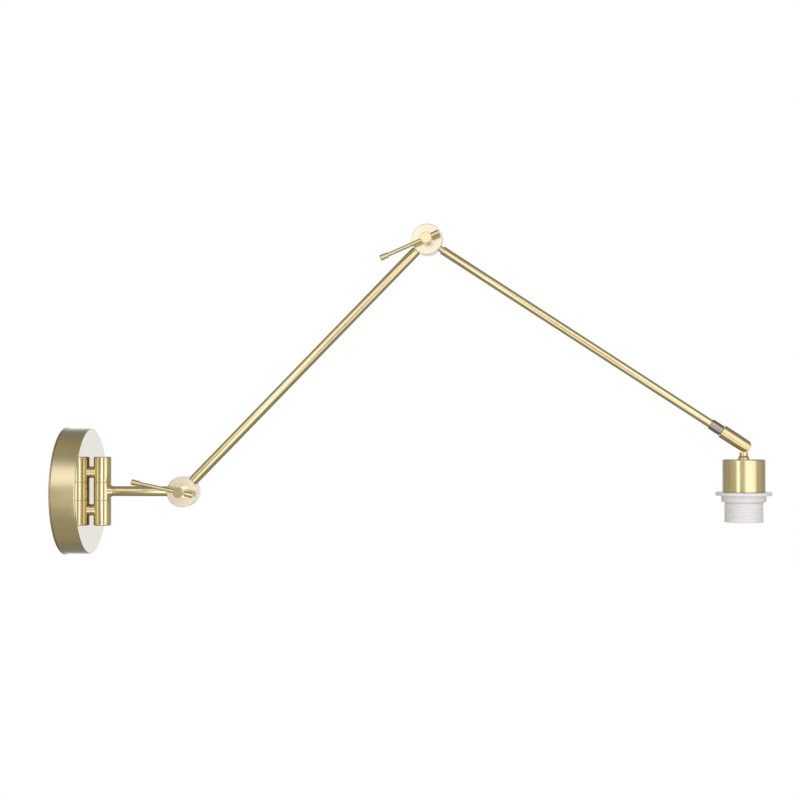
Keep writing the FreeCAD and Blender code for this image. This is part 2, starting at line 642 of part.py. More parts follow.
# ---------------------------------------------------------------- clamp joints
def disc_blank(face_y, inward, neck_gap, neck_radius, spigot_radius):
    """Hollow disc about the origin with a neck and spigot along +X.

    face_y is the outside face, and inward is +1 or -1, the way to the mating face along Y.
    """
    outer_face = Vector(0, face_y, 0)
    axis = Y_AXIS * inward
    disc = chamfered_bar(DISC_RADIUS, DISC_THICKNESS, DISC_EDGE, 0, outer_face, axis)
    middle_y = face_y + inward * DISC_THICKNESS / 2
    root = math.sqrt(DISC_RADIUS ** 2 - neck_radius ** 2) - DISC_RIM_WALL / 2
    neck_end = DISC_RADIUS + neck_gap
    neck = cylinder(neck_radius, Vector(root, middle_y, 0), X_AXIS, neck_end - root)
    spigot = cylinder(spigot_radius, Vector(neck_end, middle_y, 0), X_AXIS, SPIGOT_LENGTH)
    disc = disc.fuse(neck).fuse(spigot).removeSplitter()
    pocket_start = Vector(0, face_y + inward * (DISC_THICKNESS - DISC_POCKET_DEPTH), 0)
    pocket_radius = DISC_RADIUS - DISC_RIM_WALL
    pocket = hollow_cylinder(pocket_radius, DISC_BOSS_RADIUS, pocket_start, axis, DISC_POCKET_DEPTH)
    lead_start = Vector((pocket_radius + DISC_BOSS_RADIUS) / 2, middle_y, 0)
    lead_length = neck_end + SPIGOT_LENGTH - lead_start.x
    lead_bore = cylinder(LEAD_HOLE_RADIUS, lead_start, X_AXIS, lead_length)
    return disc.cut(pocket).cut(lead_bore)


def front_disc():
    """Front half of a clamp joint, drawn about the origin: a through hole for the clamp screw."""
    spigot_radius = ARM_TUBE_RADIUS - ARM_TUBE_WALL
    disc = disc_blank(FRONT_FACE_Y, 1, FRONT_NECK_GAP, spigot_radius, spigot_radius)
    hole_radius = CLAMP_SHANK_RADIUS + SCREW_PLAY
    return disc.cut(cylinder(hole_radius, Vector(0, FRONT_FACE_Y, 0), Y_AXIS, DISC_THICKNESS))


def back_disc(spigot_radius):
    """Back half of a clamp joint, drawn about the origin: a blind tapped hole for the clamp screw."""
    disc = disc_blank(DISC_THICKNESS / 2, -1, BACK_NECK_GAP, BACK_NECK_RADIUS, spigot_radius)
    mating_face = Vector(0, -DISC_THICKNESS / 2, 0)
    return disc.cut(cylinder(CLAMP_SHANK_RADIUS + RUNNING_FIT, mating_face, Y_AXIS, CLAMP_THREAD_DEPTH))


def joint_washer():
    """Friction washer between the rims of a clamp joint, lying on the back disc."""
    start = Vector(0, -DISC_THICKNESS / 2, 0)
    outer = DISC_RADIUS - JOINT_WASHER_STEP
    return hollow_cylinder(outer, JOINT_WASHER_INNER, start, -Y_AXIS, JOINT_WASHER_THICKNESS)


def clamp_screw():
    """Clamp screw drawn about the origin, with its bar hole along X."""
    hub_start = Vector(0, FRONT_FACE_Y - CLAMP_HUB_GAP, 0)
    hub_length = CLAMP_HUB_LENGTH - CLAMP_HUB_GAP
    hub = chamfered_bar(CLAMP_HUB_RADIUS, hub_length, 0, CLAMP_HUB_EDGE, hub_start, -Y_AXIS)
    shank_end = -DISC_THICKNESS / 2 + CLAMP_THREAD_DEPTH - CLAMP_END_GAP
    shank = cylinder(CLAMP_SHANK_RADIUS, hub_start, Y_AXIS, shank_end - hub_start.y)
    cross_start = Vector(-CLAMP_HUB_RADIUS, BAR_AXIS_Y, 0)
    cross = cylinder(BAR_RADIUS, cross_start, X_AXIS, 2 * CLAMP_HUB_RADIUS)
    return hub.fuse(shank).removeSplitter().cut(cross)


def clamp_bar():
    """Bar through the clamp screw's head, with its long side along +X."""
    tip_solid = BAR_TIP_LENGTH - BAR_TIP_BORE_DEPTH
    start = Vector(tip_solid - BAR_SHORT_SIDE, BAR_AXIS_Y, 0)
    return cylinder(BAR_RADIUS, start, X_AXIS, BAR_SHORT_SIDE + BAR_LONG_SIDE - 2 * tip_solid)


def bar_tips():
    """The two end pieces of a clamp bar, drawn with the long side along +X."""
    groove_radius = BAR_TIP_RADIUS - BAR_TIP_GROOVE_DEPTH
    groove_end = BAR_TIP_COLLAR + BAR_TIP_GROOVE_WIDTH
    outline = [
        (0, 0),
        (BAR_TIP_RADIUS - BAR_TIP_EDGE, 0),
        (BAR_TIP_RADIUS, BAR_TIP_EDGE),
        (BAR_TIP_RADIUS, BAR_TIP_COLLAR),
        (groove_radius, BAR_TIP_COLLAR),
        (groove_radius, groove_end),
        (BAR_TIP_RADIUS, groove_end),
        (BAR_TIP_RADIUS, BAR_TIP_LENGTH - BAR_TIP_EDGE),
        (BAR_TIP_RADIUS - BAR_TIP_EDGE, BAR_TIP_LENGTH),
        (0, BAR_TIP_LENGTH),
    ]
    tips = []
    for end, outward in ((BAR_LONG_SIDE, X_AXIS), (-BAR_SHORT_SIDE, -X_AXIS)):
        start = Vector(end, BAR_AXIS_Y, 0) - outward * BAR_TIP_LENGTH
        tip = turned(outline, start, outward)
        tips.append(tip.cut(cylinder(BAR_RADIUS, start, outward, BAR_TIP_BORE_DEPTH)))
    return tips


# ---------------------------------------------------------------- arms
def lower_tube():
    """Long tube of the lower arm, along +X from the shoulder."""
    inset = DISC_RADIUS + FRONT_NECK_GAP
    start = Vector(inset, FRONT_PLANE_Y, 0)
    inner = ARM_TUBE_RADIUS - ARM_TUBE_WALL
    return hollow_cylinder(ARM_TUBE_RADIUS, inner, start, X_AXIS, LOWER_ARM_LENGTH - 2 * inset)


def elbow_front_disc():
    """The lower arm's far disc, whose neck points back along the arm."""
    disc = front_disc()
    disc.rotate(ORIGIN, Y_AXIS, 180)
    disc.translate(Vector(LOWER_ARM_LENGTH, 0, 0))
    return disc


FORK_SHOULDER = UPPER_ARM_LENGTH - FORK_LENGTH
COLLAR_END = FORK_SHOULDER - FORK_COLLAR_GAP
COLLAR_START = COLLAR_END - COLLAR_LENGTH
SPIGOT_END = FORK_SHOULDER - SWIVEL_SPIGOT_LENGTH
RETAINER_START = SPIGOT_END + RETAINER_THICKNESS
RETAINER_INNER = SWIVEL_SPIGOT_RADIUS - RETAINER_BITE + RETAINER_PLAY
RETAINER_OUTER = SWIVEL_SPIGOT_RADIUS + RETAINER_STAND


def upper_tube():
    """Thinner tube of the upper arm, along +X from the elbow."""
    inset = DISC_RADIUS + BACK_NECK_GAP
    inner = UPPER_TUBE_RADIUS - UPPER_TUBE_WALL
    return hollow_cylinder(UPPER_TUBE_RADIUS, inner, Vector(inset, 0, 0), X_AXIS, COLLAR_START - inset)


def head_collar():
    """Dark collar plugged into the upper tube; the head's fork turns in it."""
    start = Vector(COLLAR_START, 0, 0)
    collar = chamfered_bar(COLLAR_RADIUS, COLLAR_LENGTH, COLLAR_EDGE, COLLAR_EDGE, start, X_AXIS)
    plug_radius = UPPER_TUBE_RADIUS - UPPER_TUBE_WALL
    plug = cylinder(plug_radius, start, -X_AXIS, COLLAR_SPIGOT_LENGTH)
    collar = collar.fuse(plug).removeSplitter()
    whole = COLLAR_SPIGOT_LENGTH + COLLAR_LENGTH
    lead_bore = cylinder(LEAD_HOLE_RADIUS, start - X_AXIS * COLLAR_SPIGOT_LENGTH, X_AXIS, whole)
    bore_start = COLLAR_START + COLLAR_END_WALL
    bore = cylinder(
        SWIVEL_SPIGOT_RADIUS + RUNNING_FIT, Vector(bore_start, 0, 0), X_AXIS, COLLAR_END - bore_start)
    groove_start = Vector(RETAINER_START - RETAINER_PLAY, 0, 0)
    groove_width = RETAINER_THICKNESS + 2 * RETAINER_PLAY
    groove = cylinder(RETAINER_OUTER + RETAINER_PLAY, groove_start, X_AXIS, groove_width)
    return collar.cut(lead_bore).cut(bore).cut(groove)


def turn_retaining_ring():
    """Open spring ring in the collar's groove that keeps the fork in."""
    start = Vector(RETAINER_START, 0, 0)
    ring = hollow_cylinder(RETAINER_OUTER, RETAINER_INNER, start, X_AXIS, RETAINER_THICKNESS)
    half_gap = RETAINER_OUTER * math.sin(math.radians(RETAINER_GAP_ANGLE / 2))
    opening = box(
        Vector(RETAINER_START, -half_gap, 0),
        Vector(RETAINER_START + RETAINER_THICKNESS, half_gap, RETAINER_OUTER),
    )
    return ring.cut(opening)


# ---------------------------------------------------------------- head swivel
def head_fork():
    """Round fork with a rounded end: turns in the collar, and the tongue tilts in its slot."""
    shoulder = Vector(FORK_SHOULDER, 0, 0)
    body = chamfered_bar(FORK_RADIUS, FORK_LENGTH, FORK_EDGE, 0, shoulder, X_AXIS)
    pivot = Vector(UPPER_ARM_LENGTH, 0, 0)
    stub = cylinder(FORK_RADIUS, pivot, X_AXIS, FORK_RADIUS)
    cheek_start = pivot - Y_AXIS * FORK_RADIUS
    rounding = cylinder(FORK_RADIUS, cheek_start, Y_AXIS, 2 * FORK_RADIUS)
    body = body.fuse(stub.common(rounding)).removeSplitter()
    spigot = cylinder(SWIVEL_SPIGOT_RADIUS, shoulder, -X_AXIS, SWIVEL_SPIGOT_LENGTH)
    fork = body.fuse(spigot).removeSplitter()
    groove_inner = SWIVEL_SPIGOT_RADIUS - RETAINER_BITE
    groove_start = Vector(RETAINER_START - RETAINER_PLAY, 0, 0)
    groove_width = RETAINER_THICKNESS + 2 * RETAINER_PLAY
    groove = hollow_cylinder(SWIVEL_SPIGOT_RADIUS, groove_inner, groove_start, X_AXIS, groove_width)
    slot_start = UPPER_ARM_LENGTH - FORK_SLOT_DEPTH
    slot = box(
        Vector(slot_start, -FORK_SLOT / 2, -FORK_RADIUS),
        Vector(UPPER_ARM_LENGTH + FORK_RADIUS, FORK_SLOT / 2, FORK_RADIUS),
    )
    bore_start = Vector(SPIGOT_END, 0, 0)
    lead_bore = cylinder(FORK_BORE_RADIUS, bore_start, X_AXIS, slot_start - SPIGOT_END)
    fork = fork.cut(groove).cut(slot).cut(lead_bore)
    thread_start = pivot - Y_AXIS * (FORK_SLOT / 2 + TILT_THREAD_DEPTH)
    thread_length = FORK_SLOT / 2 + TILT_THREAD_DEPTH + FORK_RADIUS
    screw_hole = cylinder(TILT_SCREW_RADIUS, thread_start, Y_AXIS, thread_length)
    head_start = pivot + Y_AXIS * (FORK_RADIUS - TILT_HEAD_DEPTH)
    head_seat = cylinder(TILT_HEAD_RADIUS, head_start, Y_AXIS, TILT_HEAD_DEPTH)
    return fork.cut(screw_hole).cut(head_seat)


def tilt_screw():
    """Slotted pivot screw let into the back cheek and tapped into the front one."""
    pivot = Vector(UPPER_ARM_LENGTH, 0, 0)
    end = pivot - Y_AXIS * (FORK_SLOT / 2 + TILT_THREAD_DEPTH - FACE_GAP)
    head_start = FORK_RADIUS - TILT_HEAD_DEPTH
    shank_length = FORK_SLOT / 2 + TILT_THREAD_DEPTH - FACE_GAP + head_start
    shank = cylinder(TILT_SCREW_RADIUS, end, Y_AXIS, shank_length)
    head = cylinder(TILT_HEAD_RADIUS, pivot + Y_AXIS * head_start, Y_AXIS, TILT_HEAD_DEPTH)
    barrel = cylinder(FORK_RADIUS, Vector(FORK_SHOULDER, 0, 0), X_AXIS, FORK_LENGTH + FORK_RADIUS)
    head = head.common(barrel)
    slot_centre = pivot + Y_AXIS * (FORK_RADIUS - SCREW_SLOT_DEPTH / 2)
    slot = centred_box(slot_centre, 2 * TILT_HEAD_RADIUS, SCREW_SLOT_DEPTH, SCREW_SLOT_WIDTH)
    return shank.fuse(head).removeSplitter().cut(slot)


def tilt_washers():
    """Friction washers on the inner faces of the fork's cheeks."""
    washers = []
    for outward in (Y_AXIS, -Y_AXIS):
        start = Vector(UPPER_ARM_LENGTH, 0, 0) + outward * (FORK_SLOT / 2 - TILT_WASHER_THICKNESS)
        washer = hollow_cylinder(
            TILT_WASHER_RADIUS, TILT_SCREW_RADIUS, start, outward, TILT_WASHER_THICKNESS)
        washers.append(washer)
    return washers


# ---------------------------------------------------------------- lamp head, hanging from the tilt pivot
def below_pivot(depth):
    """Point straight below the tilt pivot, in the head's own frame."""
    return Vector(0, 0, -depth)


NECK_START = FORK_RADIUS + NECK_GAP
NECK_END = NECK_START + NECK_LENGTH
CUP_TOP = NECK_END + CONE_HEIGHT
CUP_INSIDE = CUP_TOP + CUP_WALL
LOCKNUT_TOP = CUP_INSIDE + HOLDER_CAP_PLATE
NIPPLE_END = LOCKNUT_TOP + LOCKNUT_HEIGHT + NIPPLE_OVERRUN
HOLDER_CAP_END = CUP_INSIDE + HOLDER_CAP_HEIGHT
SKIRT_END = HOLDER_CAP_END + SKIRT_LENGTH
INSERT_START = HOLDER_CAP_END + INSERT_TOP_GAP
INSERT_END = SKIRT_END - SKIRT_MOUTH_LIP_THICKNESS
INSERT_FLOOR = INSERT_START + INSERT_BASE
SHELL_END = INSERT_END - SHELL_MOUTH_RECESS
SHELL_START = SHELL_END - SHELL_LENGTH


def head_tongue():
    """Flat eye on the tilt screw, round neck and hollow threaded nipple below."""
    thickness = FORK_SLOT - 2 * TILT_WASHER_THICKNESS - 2 * FACE_GAP
    back = Vector(0, -thickness / 2, 0)
    eye = cylinder(TONGUE_RADIUS, back, Y_AXIS, thickness)
    web = box(
        Vector(-TONGUE_WEB / 2, -thickness / 2, -NECK_START),
        Vector(TONGUE_WEB / 2, thickness / 2, 0),
    )
    neck = cylinder(NECK_RADIUS, below_pivot(NECK_START), -Z_AXIS, NECK_END - NECK_START)
    nipple = cylinder(NIPPLE_RADIUS, below_pivot(NECK_END), -Z_AXIS, NIPPLE_END - NECK_END)
    tongue = eye.fuse(web).fuse(neck).fuse(nipple).removeSplitter()
    bore_top = (NECK_START + NECK_END) / 2
    lead_bore = cylinder(NIPPLE_BORE_RADIUS, below_pivot(bore_top), -Z_AXIS, NIPPLE_END - bore_top)
    cross_hole = cylinder(NECK_CROSS_HOLE_RADIUS, below_pivot(bore_top), X_AXIS, NECK_RADIUS)
    pivot_hole = cylinder(TILT_SCREW_RADIUS + RUNNING_FIT, back, Y_AXIS, thickness)
    return tongue.cut(lead_bore).cut(cross_hole).cut(pivot_hole)


def head_cone():
    """Small flared nut on top of the cup."""
    outline = [
        (NIPPLE_RADIUS, 0),
        (CONE_RADIUS, 0),
        (CONE_RADIUS, CONE_LAND),
        (NECK_RADIUS, CONE_HEIGHT),
        (NIPPLE_RADIUS, CONE_HEIGHT),
    ]
    return turned(outline, below_pivot(CUP_TOP), Z_AXIS)


def lampholder_cup():
    """Brass cup over the lampholder, open below."""
    inner = CUP_RADIUS - CUP_WALL
    outline = [
        (NIPPLE_RADIUS, 0),
        (CUP_RADIUS, 0, CUP_EDGE),
        (CUP_RADIUS, CUP_HEIGHT),
        (inner, CUP_HEIGHT),
        (inner, CUP_WALL, CUP_EDGE - CUP_WALL),
        (NIPPLE_RADIUS, CUP_WALL),
    ]
    return turned(outline, below_pivot(CUP_TOP), -Z_AXIS)


def cup_locknut():
    """Nut on the nipple, inside the holder cap, that clamps cap, cup and cone."""
    start = below_pivot(LOCKNUT_TOP)
    nut = hexagon_bar(LOCKNUT_ACROSS_FLATS, start, -Z_AXIS, LOCKNUT_HEIGHT)
    return nut.cut(cylinder(NIPPLE_RADIUS, start, -Z_AXIS, LOCKNUT_HEIGHT))


def lampholder_cap():
    """Plastic top of the lampholder, inside the brass cup."""
    inner = HOLDER_CAP_RADIUS - HOLDER_CAP_WALL
    outline = [
        (NIPPLE_RADIUS, 0),
        (HOLDER_CAP_RADIUS, 0),
        (HOLDER_CAP_RADIUS, HOLDER_CAP_HEIGHT),
        (inner, HOLDER_CAP_HEIGHT),
        (inner, HOLDER_CAP_PLATE),
        (NIPPLE_RADIUS, HOLDER_CAP_PLATE),
    ]
    return turned(outline, below_pivot(CUP_INSIDE), -Z_AXIS)


def lampholder_skirt():
    """White lower body of the lampholder; the shade ring runs on its threaded outside."""
    mouth = SKIRT_BORE_RADIUS - SKIRT_MOUTH_LIP
    lip_start = SKIRT_LENGTH - SKIRT_MOUTH_LIP_THICKNESS
    thread_start = CUP_TOP + CUP_HEIGHT - HOLDER_CAP_END
    outline = [
        (SKIRT_BORE_RADIUS, 0),
        (HOLDER_CAP_RADIUS, 0),
        (HOLDER_CAP_RADIUS, thread_start),
        (SKIRT_RADIUS, thread_start),
        (SKIRT_RADIUS, SKIRT_LENGTH),
        (mouth, SKIRT_LENGTH),
        (mouth, lip_start),
        (SKIRT_BORE_RADIUS, lip_start),
    ]
    return turned(outline, below_pivot(HOLDER_CAP_END), -Z_AXIS)


def contact_hole(x):
    """Bar through the insert's base and the contact foot below it."""
    length = INSERT_BASE + CONTACT_THICKNESS
    return cylinder(CONTACT_SCREW_RADIUS, Vector(x, 0, -INSERT_START), -Z_AXIS, length)


def lampholder_insert():
    """Insulating carrier for the screw shell and the contacts."""
    outer = SKIRT_BORE_RADIUS - INSERT_PLAY
    inner = SHELL_BORE_RADIUS + SHELL_WALL
    length = INSERT_END - INSERT_START
    outline = [(0, 0), (outer, 0), (outer, length), (inner, length), (inner, INSERT_BASE), (0, INSERT_BASE)]
    insert = turned(outline, below_pivot(INSERT_START), -Z_AXIS)
    return insert.cut(contact_hole(CONTACT_SCREW_X)).cut(contact_hole(-CONTACT_SCREW_X))


def screw_shell():
    """Brass sleeve for an E27 lamp cap; its bore clears the cap's thread."""
    outer = SHELL_BORE_RADIUS + SHELL_WALL
    start = below_pivot(SHELL_START)
    return hollow_cylinder(outer, SHELL_BORE_RADIUS, start, -Z_AXIS, SHELL_LENGTH)


def centre_contact():
    """Sprung tongue with a button in the middle of the insert's floor."""
    top = -INSERT_FLOOR
    half = CONTACT_WIDTH / 2
    foot_start = -CONTACT_SCREW_X - half
    foot_end = -CONTACT_SCREW_X + half
    outline = [
        Vector(foot_start, -half, top),
        Vector(foot_end, -half, top),
        Vector(half, -half, top - CONTACT_RISE),
        Vector(half, -half, top - CONTACT_RISE - CONTACT_THICKNESS),
        Vector(foot_end, -half, top - CONTACT_THICKNESS),
        Vector(foot_start, -half, top - CONTACT_THICKNESS),
    ]
    outline.append(outline[0])
    strip = Part.Face(Part.makePolygon(outline)).extrude(Vector(0, CONTACT_WIDTH, 0))
    button_top = Vector(0, 0, top - CONTACT_RISE + CONTACT_THICKNESS)
    button = cylinder(CONTACT_BUTTON_RADIUS, button_top, -Z_AXIS, CONTACT_BUTTON_LENGTH)
    return strip.fuse(button).removeSplitter().cut(contact_hole(-CONTACT_SCREW_X))


def shell_contact():
    """Strip on the insert's floor with a tab that reaches down to the screw shell's rim."""
    half = CONTACT_WIDTH / 2
    outer = SHELL_BORE_RADIUS + SHELL_WALL
    inside = cylinder(outer, below_pivot(INSERT_FLOOR), -Z_AXIS, SHELL_START - INSERT_FLOOR)
    foot = box(
        Vector(CONTACT_SCREW_X - half, -half, -INSERT_FLOOR - CONTACT_THICKNESS),
        Vector(outer, half, -INSERT_FLOOR),
    )
    tab = box(
        Vector(outer - 2 * CONTACT_THICKNESS, -half, -SHELL_START),
        Vector(outer, half, -INSERT_FLOOR),
    )
    strip = foot.fuse(tab).removeSplitter().common(inside)
    return strip.cut(contact_hole(CONTACT_SCREW_X))


def contact_screws():
    """Screws for the leads, through the insert's base into the contact feet."""
    screws = []
    for x in (-CONTACT_SCREW_X, CONTACT_SCREW_X):
        start = Vector(x, 0, -INSERT_START)
        head = cylinder(CONTACT_HEAD_RADIUS, start, Z_AXIS, CONTACT_HEAD_HEIGHT)
        slot_centre = start + Z_AXIS * (CONTACT_HEAD_HEIGHT - SCREW_SLOT_DEPTH / 2)
        slot = centred_box(slot_centre, 2 * CONTACT_HEAD_RADIUS, SCREW_SLOT_WIDTH, SCREW_SLOT_DEPTH)
        screws.append(contact_hole(x).fuse(head).removeSplitter().cut(slot))
    return screws


def shade_ring():
    """White ring with a flange that clamps a shade against the cup; it runs on the skirt."""
    bore = SKIRT_RADIUS + RING_THREAD_PLAY
    height = FLANGE_THICKNESS + RING_COLLAR_HEIGHT
    outline = [
        (bore, 0),
        (FLANGE_RADIUS, 0, FLANGE_EDGE),
        (FLANGE_RADIUS, FLANGE_THICKNESS, FLANGE_EDGE),
        (RING_COLLAR_RADIUS, FLANGE_THICKNESS),
        (RING_COLLAR_RADIUS, height, RING_COLLAR_EDGE),
        (bore, height),
    ]
    return turned(outline, below_pivot(CUP_TOP + CUP_HEIGHT + FLANGE_GAP), -Z_AXIS)


# ---------------------------------------------------------------- the whole lamp
def at_wall(shape):
    """Pieces drawn straight in the lamp's frame."""
    return shape


def on_lower_arm(shape):
    """Place a piece drawn along the lower arm."""
    return in_arm_frame(shape, SHOULDER, LOWER_ARM_ELEVATION)


def on_upper_arm(shape):
    """Place a piece drawn along the upper arm."""
    return in_arm_frame(shape, ELBOW, UPPER_ARM_ELEVATION)


def on_shoulder_back(shape):
    """Place a piece drawn along +X from the shoulder back towards the wall."""
    return in_arm_frame(shape, SHOULDER, 180)


def on_shoulder_bar(shape):
    """Place a piece of the shoulder's clamp screw."""
    return in_arm_frame(shape, SHOULDER, SHOULDER_BAR_ANGLE)


def on_elbow_bar(shape):
    """Place a piece of the elbow's clamp screw."""
    return in_arm_frame(shape, ELBOW, ELBOW_BAR_ANGLE)


def on_head(shape):
    """Place a piece drawn below the tilt pivot."""
    return shape.translated(TILT_PIVOT)


NODES = {
    "canopy_base_ring": (canopy_base_ring, at_wall),
    "wall_bracket": (wall_bracket, at_wall),
    "bracket_rivets": (bracket_rivets, at_wall),
    "canopy": (canopy, at_wall),
    "canopy_screws": (canopy_screws, at_wall),
    "terminal_block": (terminal_block, at_wall),
    "terminal_screws": (terminal_screws, at_wall),
    "earth_screw": (earth_screw, at_wall),
    "earth_washer": (earth_washer, at_wall),
    "knuckle_standoffs": (knuckle_standoffs, at_wall),
    "standoff_washers": (standoff_washers, at_wall),
    "standoff_nuts": (standoff_nuts, at_wall),
    "upper_knuckle": (upper_knuckle, at_wall),
    "lower_knuckle": (lower_knuckle, at_wall),
    "swivel_tube_pin": (swivel_tube_pin, at_wall),
    "barrel_caps": (barrel_caps, at_wall),
    "swivel_washers": (swivel_washers, at_wall),
    "swing_knuckle": (swing_knuckle, at_wall),
    "swing_tube": (swing_tube, at_wall),
    "shoulder_back_disc": (lambda: back_disc(ARM_TUBE_RADIUS - ARM_TUBE_WALL), on_shoulder_back),
    "shoulder_washer": (joint_washer, on_shoulder_back),
    "shoulder_clamp_screw": (clamp_screw, on_shoulder_bar),
    "shoulder_clamp_bar": (clamp_bar, on_shoulder_bar),
    "shoulder_bar_tips": (bar_tips, on_shoulder_bar),
    "shoulder_front_disc": (front_disc, on_lower_arm),
    "lower_tube": (lower_tube, on_lower_arm),
    "elbow_front_disc": (elbow_front_disc, on_lower_arm),
    "elbow_back_disc": (lambda: back_disc(UPPER_TUBE_RADIUS - UPPER_TUBE_WALL), on_upper_arm),
    "elbow_washer": (joint_washer, on_upper_arm),
    "upper_tube": (upper_tube, on_upper_arm),
    "head_collar": (head_collar, on_upper_arm),
    "turn_retaining_ring": (turn_retaining_ring, on_upper_arm),
    "elbow_clamp_screw": (clamp_screw, on_elbow_bar),
    "elbow_clamp_bar": (clamp_bar, on_elbow_bar),
    "elbow_bar_tips": (bar_tips, on_elbow_bar),
    "head_fork": (head_fork, on_upper_arm),
    "tilt_screw": (tilt_screw, on_upper_arm),
    "tilt_washers": (tilt_washers, on_upper_arm),
    "head_tongue": (head_tongue, on_head),
    "head_cone": (head_cone, on_head),
    "lampholder_cup": (lampholder_cup, on_head),
    "cup_locknut": (cup_locknut, on_head),
    "lampholder_cap": (lampholder_cap, on_head),
    "lampholder_skirt": (lampholder_skirt, on_head),
    "lampholder_insert": (lampholder_insert, on_head),
    "screw_shell": (screw_shell, on_head),
    "centre_contact": (centre_contact, on_head),
    "shell_contact": (shell_contact, on_head),
    "contact_screws": (contact_screws, on_head),
    "shade_ring": (shade_ring, on_head),
}


def build(make, place):
    """Make one node's solids, placed in the lamp's frame."""
    made = make()
    pieces = made if isinstance(made, list) else [made]
    placed = [place(piece) for piece in pieces]
    return placed[0] if len(placed) == 1 else Part.makeCompound(placed)


def main():
    """Write each node to its own file and print what it holds."""
    os.makedirs("parts", exist_ok=True)
    for name, (make, place) in NODES.items():
        shape = build(make, place)
        shape.exportStep(os.path.join("parts", name + ".step"))
        print(f"{name}: {len(shape.Solids)} solids, {shape.Volume:.1f} mm3, valid {shape.isValid()}")
    print(f"elbow pivot {ELBOW.x:.3f} {ELBOW.z:.3f}, tilt pivot {TILT_PIVOT.x:.3f} {TILT_PIVOT.z:.3f}")


main()
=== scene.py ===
"""Looks of the articulating brass wall lamp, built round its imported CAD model.

Every sub-assembly is a class whose fields are its sizes in millimetres. Its build method makes the
pieces in local frames, and the workshop places them in the lamp's frame, in metres, and dresses them.
"""

import json
import logging
import math
from dataclasses import dataclass
from enum import Enum
from typing import Optional, Sequence

import bmesh
import bpy
from mathutils import Matrix, Vector

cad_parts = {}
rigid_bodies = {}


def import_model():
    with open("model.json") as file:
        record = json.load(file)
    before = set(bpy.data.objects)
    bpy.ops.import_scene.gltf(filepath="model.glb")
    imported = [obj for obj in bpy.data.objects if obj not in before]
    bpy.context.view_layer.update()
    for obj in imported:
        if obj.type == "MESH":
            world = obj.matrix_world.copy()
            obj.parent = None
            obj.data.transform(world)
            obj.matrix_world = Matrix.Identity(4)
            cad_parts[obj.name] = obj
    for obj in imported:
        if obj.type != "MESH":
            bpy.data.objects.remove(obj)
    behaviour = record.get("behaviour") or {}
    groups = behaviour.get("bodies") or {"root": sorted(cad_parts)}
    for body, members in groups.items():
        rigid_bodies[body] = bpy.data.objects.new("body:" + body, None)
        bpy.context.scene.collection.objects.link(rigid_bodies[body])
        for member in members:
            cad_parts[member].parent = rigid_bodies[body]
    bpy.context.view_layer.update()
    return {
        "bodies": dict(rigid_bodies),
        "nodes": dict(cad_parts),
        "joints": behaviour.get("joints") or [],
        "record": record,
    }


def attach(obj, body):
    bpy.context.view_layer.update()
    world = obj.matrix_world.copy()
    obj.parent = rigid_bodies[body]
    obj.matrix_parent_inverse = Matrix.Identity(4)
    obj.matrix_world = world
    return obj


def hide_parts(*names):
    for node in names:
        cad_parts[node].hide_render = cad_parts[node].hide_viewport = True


MM = 0.001
X_AXIS = Vector((1, 0, 0))
Y_AXIS = Vector((0, 1, 0))
Z_AXIS = Vector((0, 0, 1))
log = logging.getLogger("wall_lamp")

Colour = tuple[float, float, float]
Corners = Sequence[tuple[float, ...]]
Mesh = bpy.types.Mesh
Socket = bpy.types.NodeSocket
Tree = bpy.types.NodeTree

# sizes that several sub-assemblies share, in millimetres
LEAD_RADIUS = 2.2           # passages for the leads
SCREW_PLAY = 0.3            # radial play of a screw in a through hole
RUNNING_FIT = 0.05          # radial play of a shaft that turns
CANOPY_DEPTH = 27.0         # wall to the front of the plate
CANOPY_PLATE = 1.8
BARREL_RADIUS = 9.3
PIN_RADIUS = 4.0            # hollow pin of the barrel
STANDOFF_HEIGHT = 19.7      # stand-offs above and below the barrel's middle
STUD_RADIUS = 4.0           # studs of the stand-offs
ARM_TUBE_RADIUS = 5.25      # swing arm and lower arm
TUBE_WALL = 1.0
FORK_LENGTH = 26.0          # fork's shoulder to the tilt pivot
TURN_SPIGOT_LENGTH = 10.6   # fork's spigot in the collar
TILT_SCREW_RADIUS = 2.0


class Grain(Enum):
    """The way that fine marks run on a finished surface."""

    TURNED = "rings round the turning axis"
    LENGTHWISE = "lines along the turning axis"
    PLAIN = "no direction"


class Pattern(Enum):
    """How copies of one small piece are spread."""

    AROUND = "turned round an axis"
    GRID = "rows and columns"


class Operation(Enum):
    """What tool meshes do to a piece."""

    CUT = "DIFFERENCE"
    JOIN = "UNION"
    TRIM = "INTERSECT"


class Clamp(Enum):
    """The two clamp joints of the lamp."""

    SHOULDER = "shoulder"
    ELBOW = "elbow"


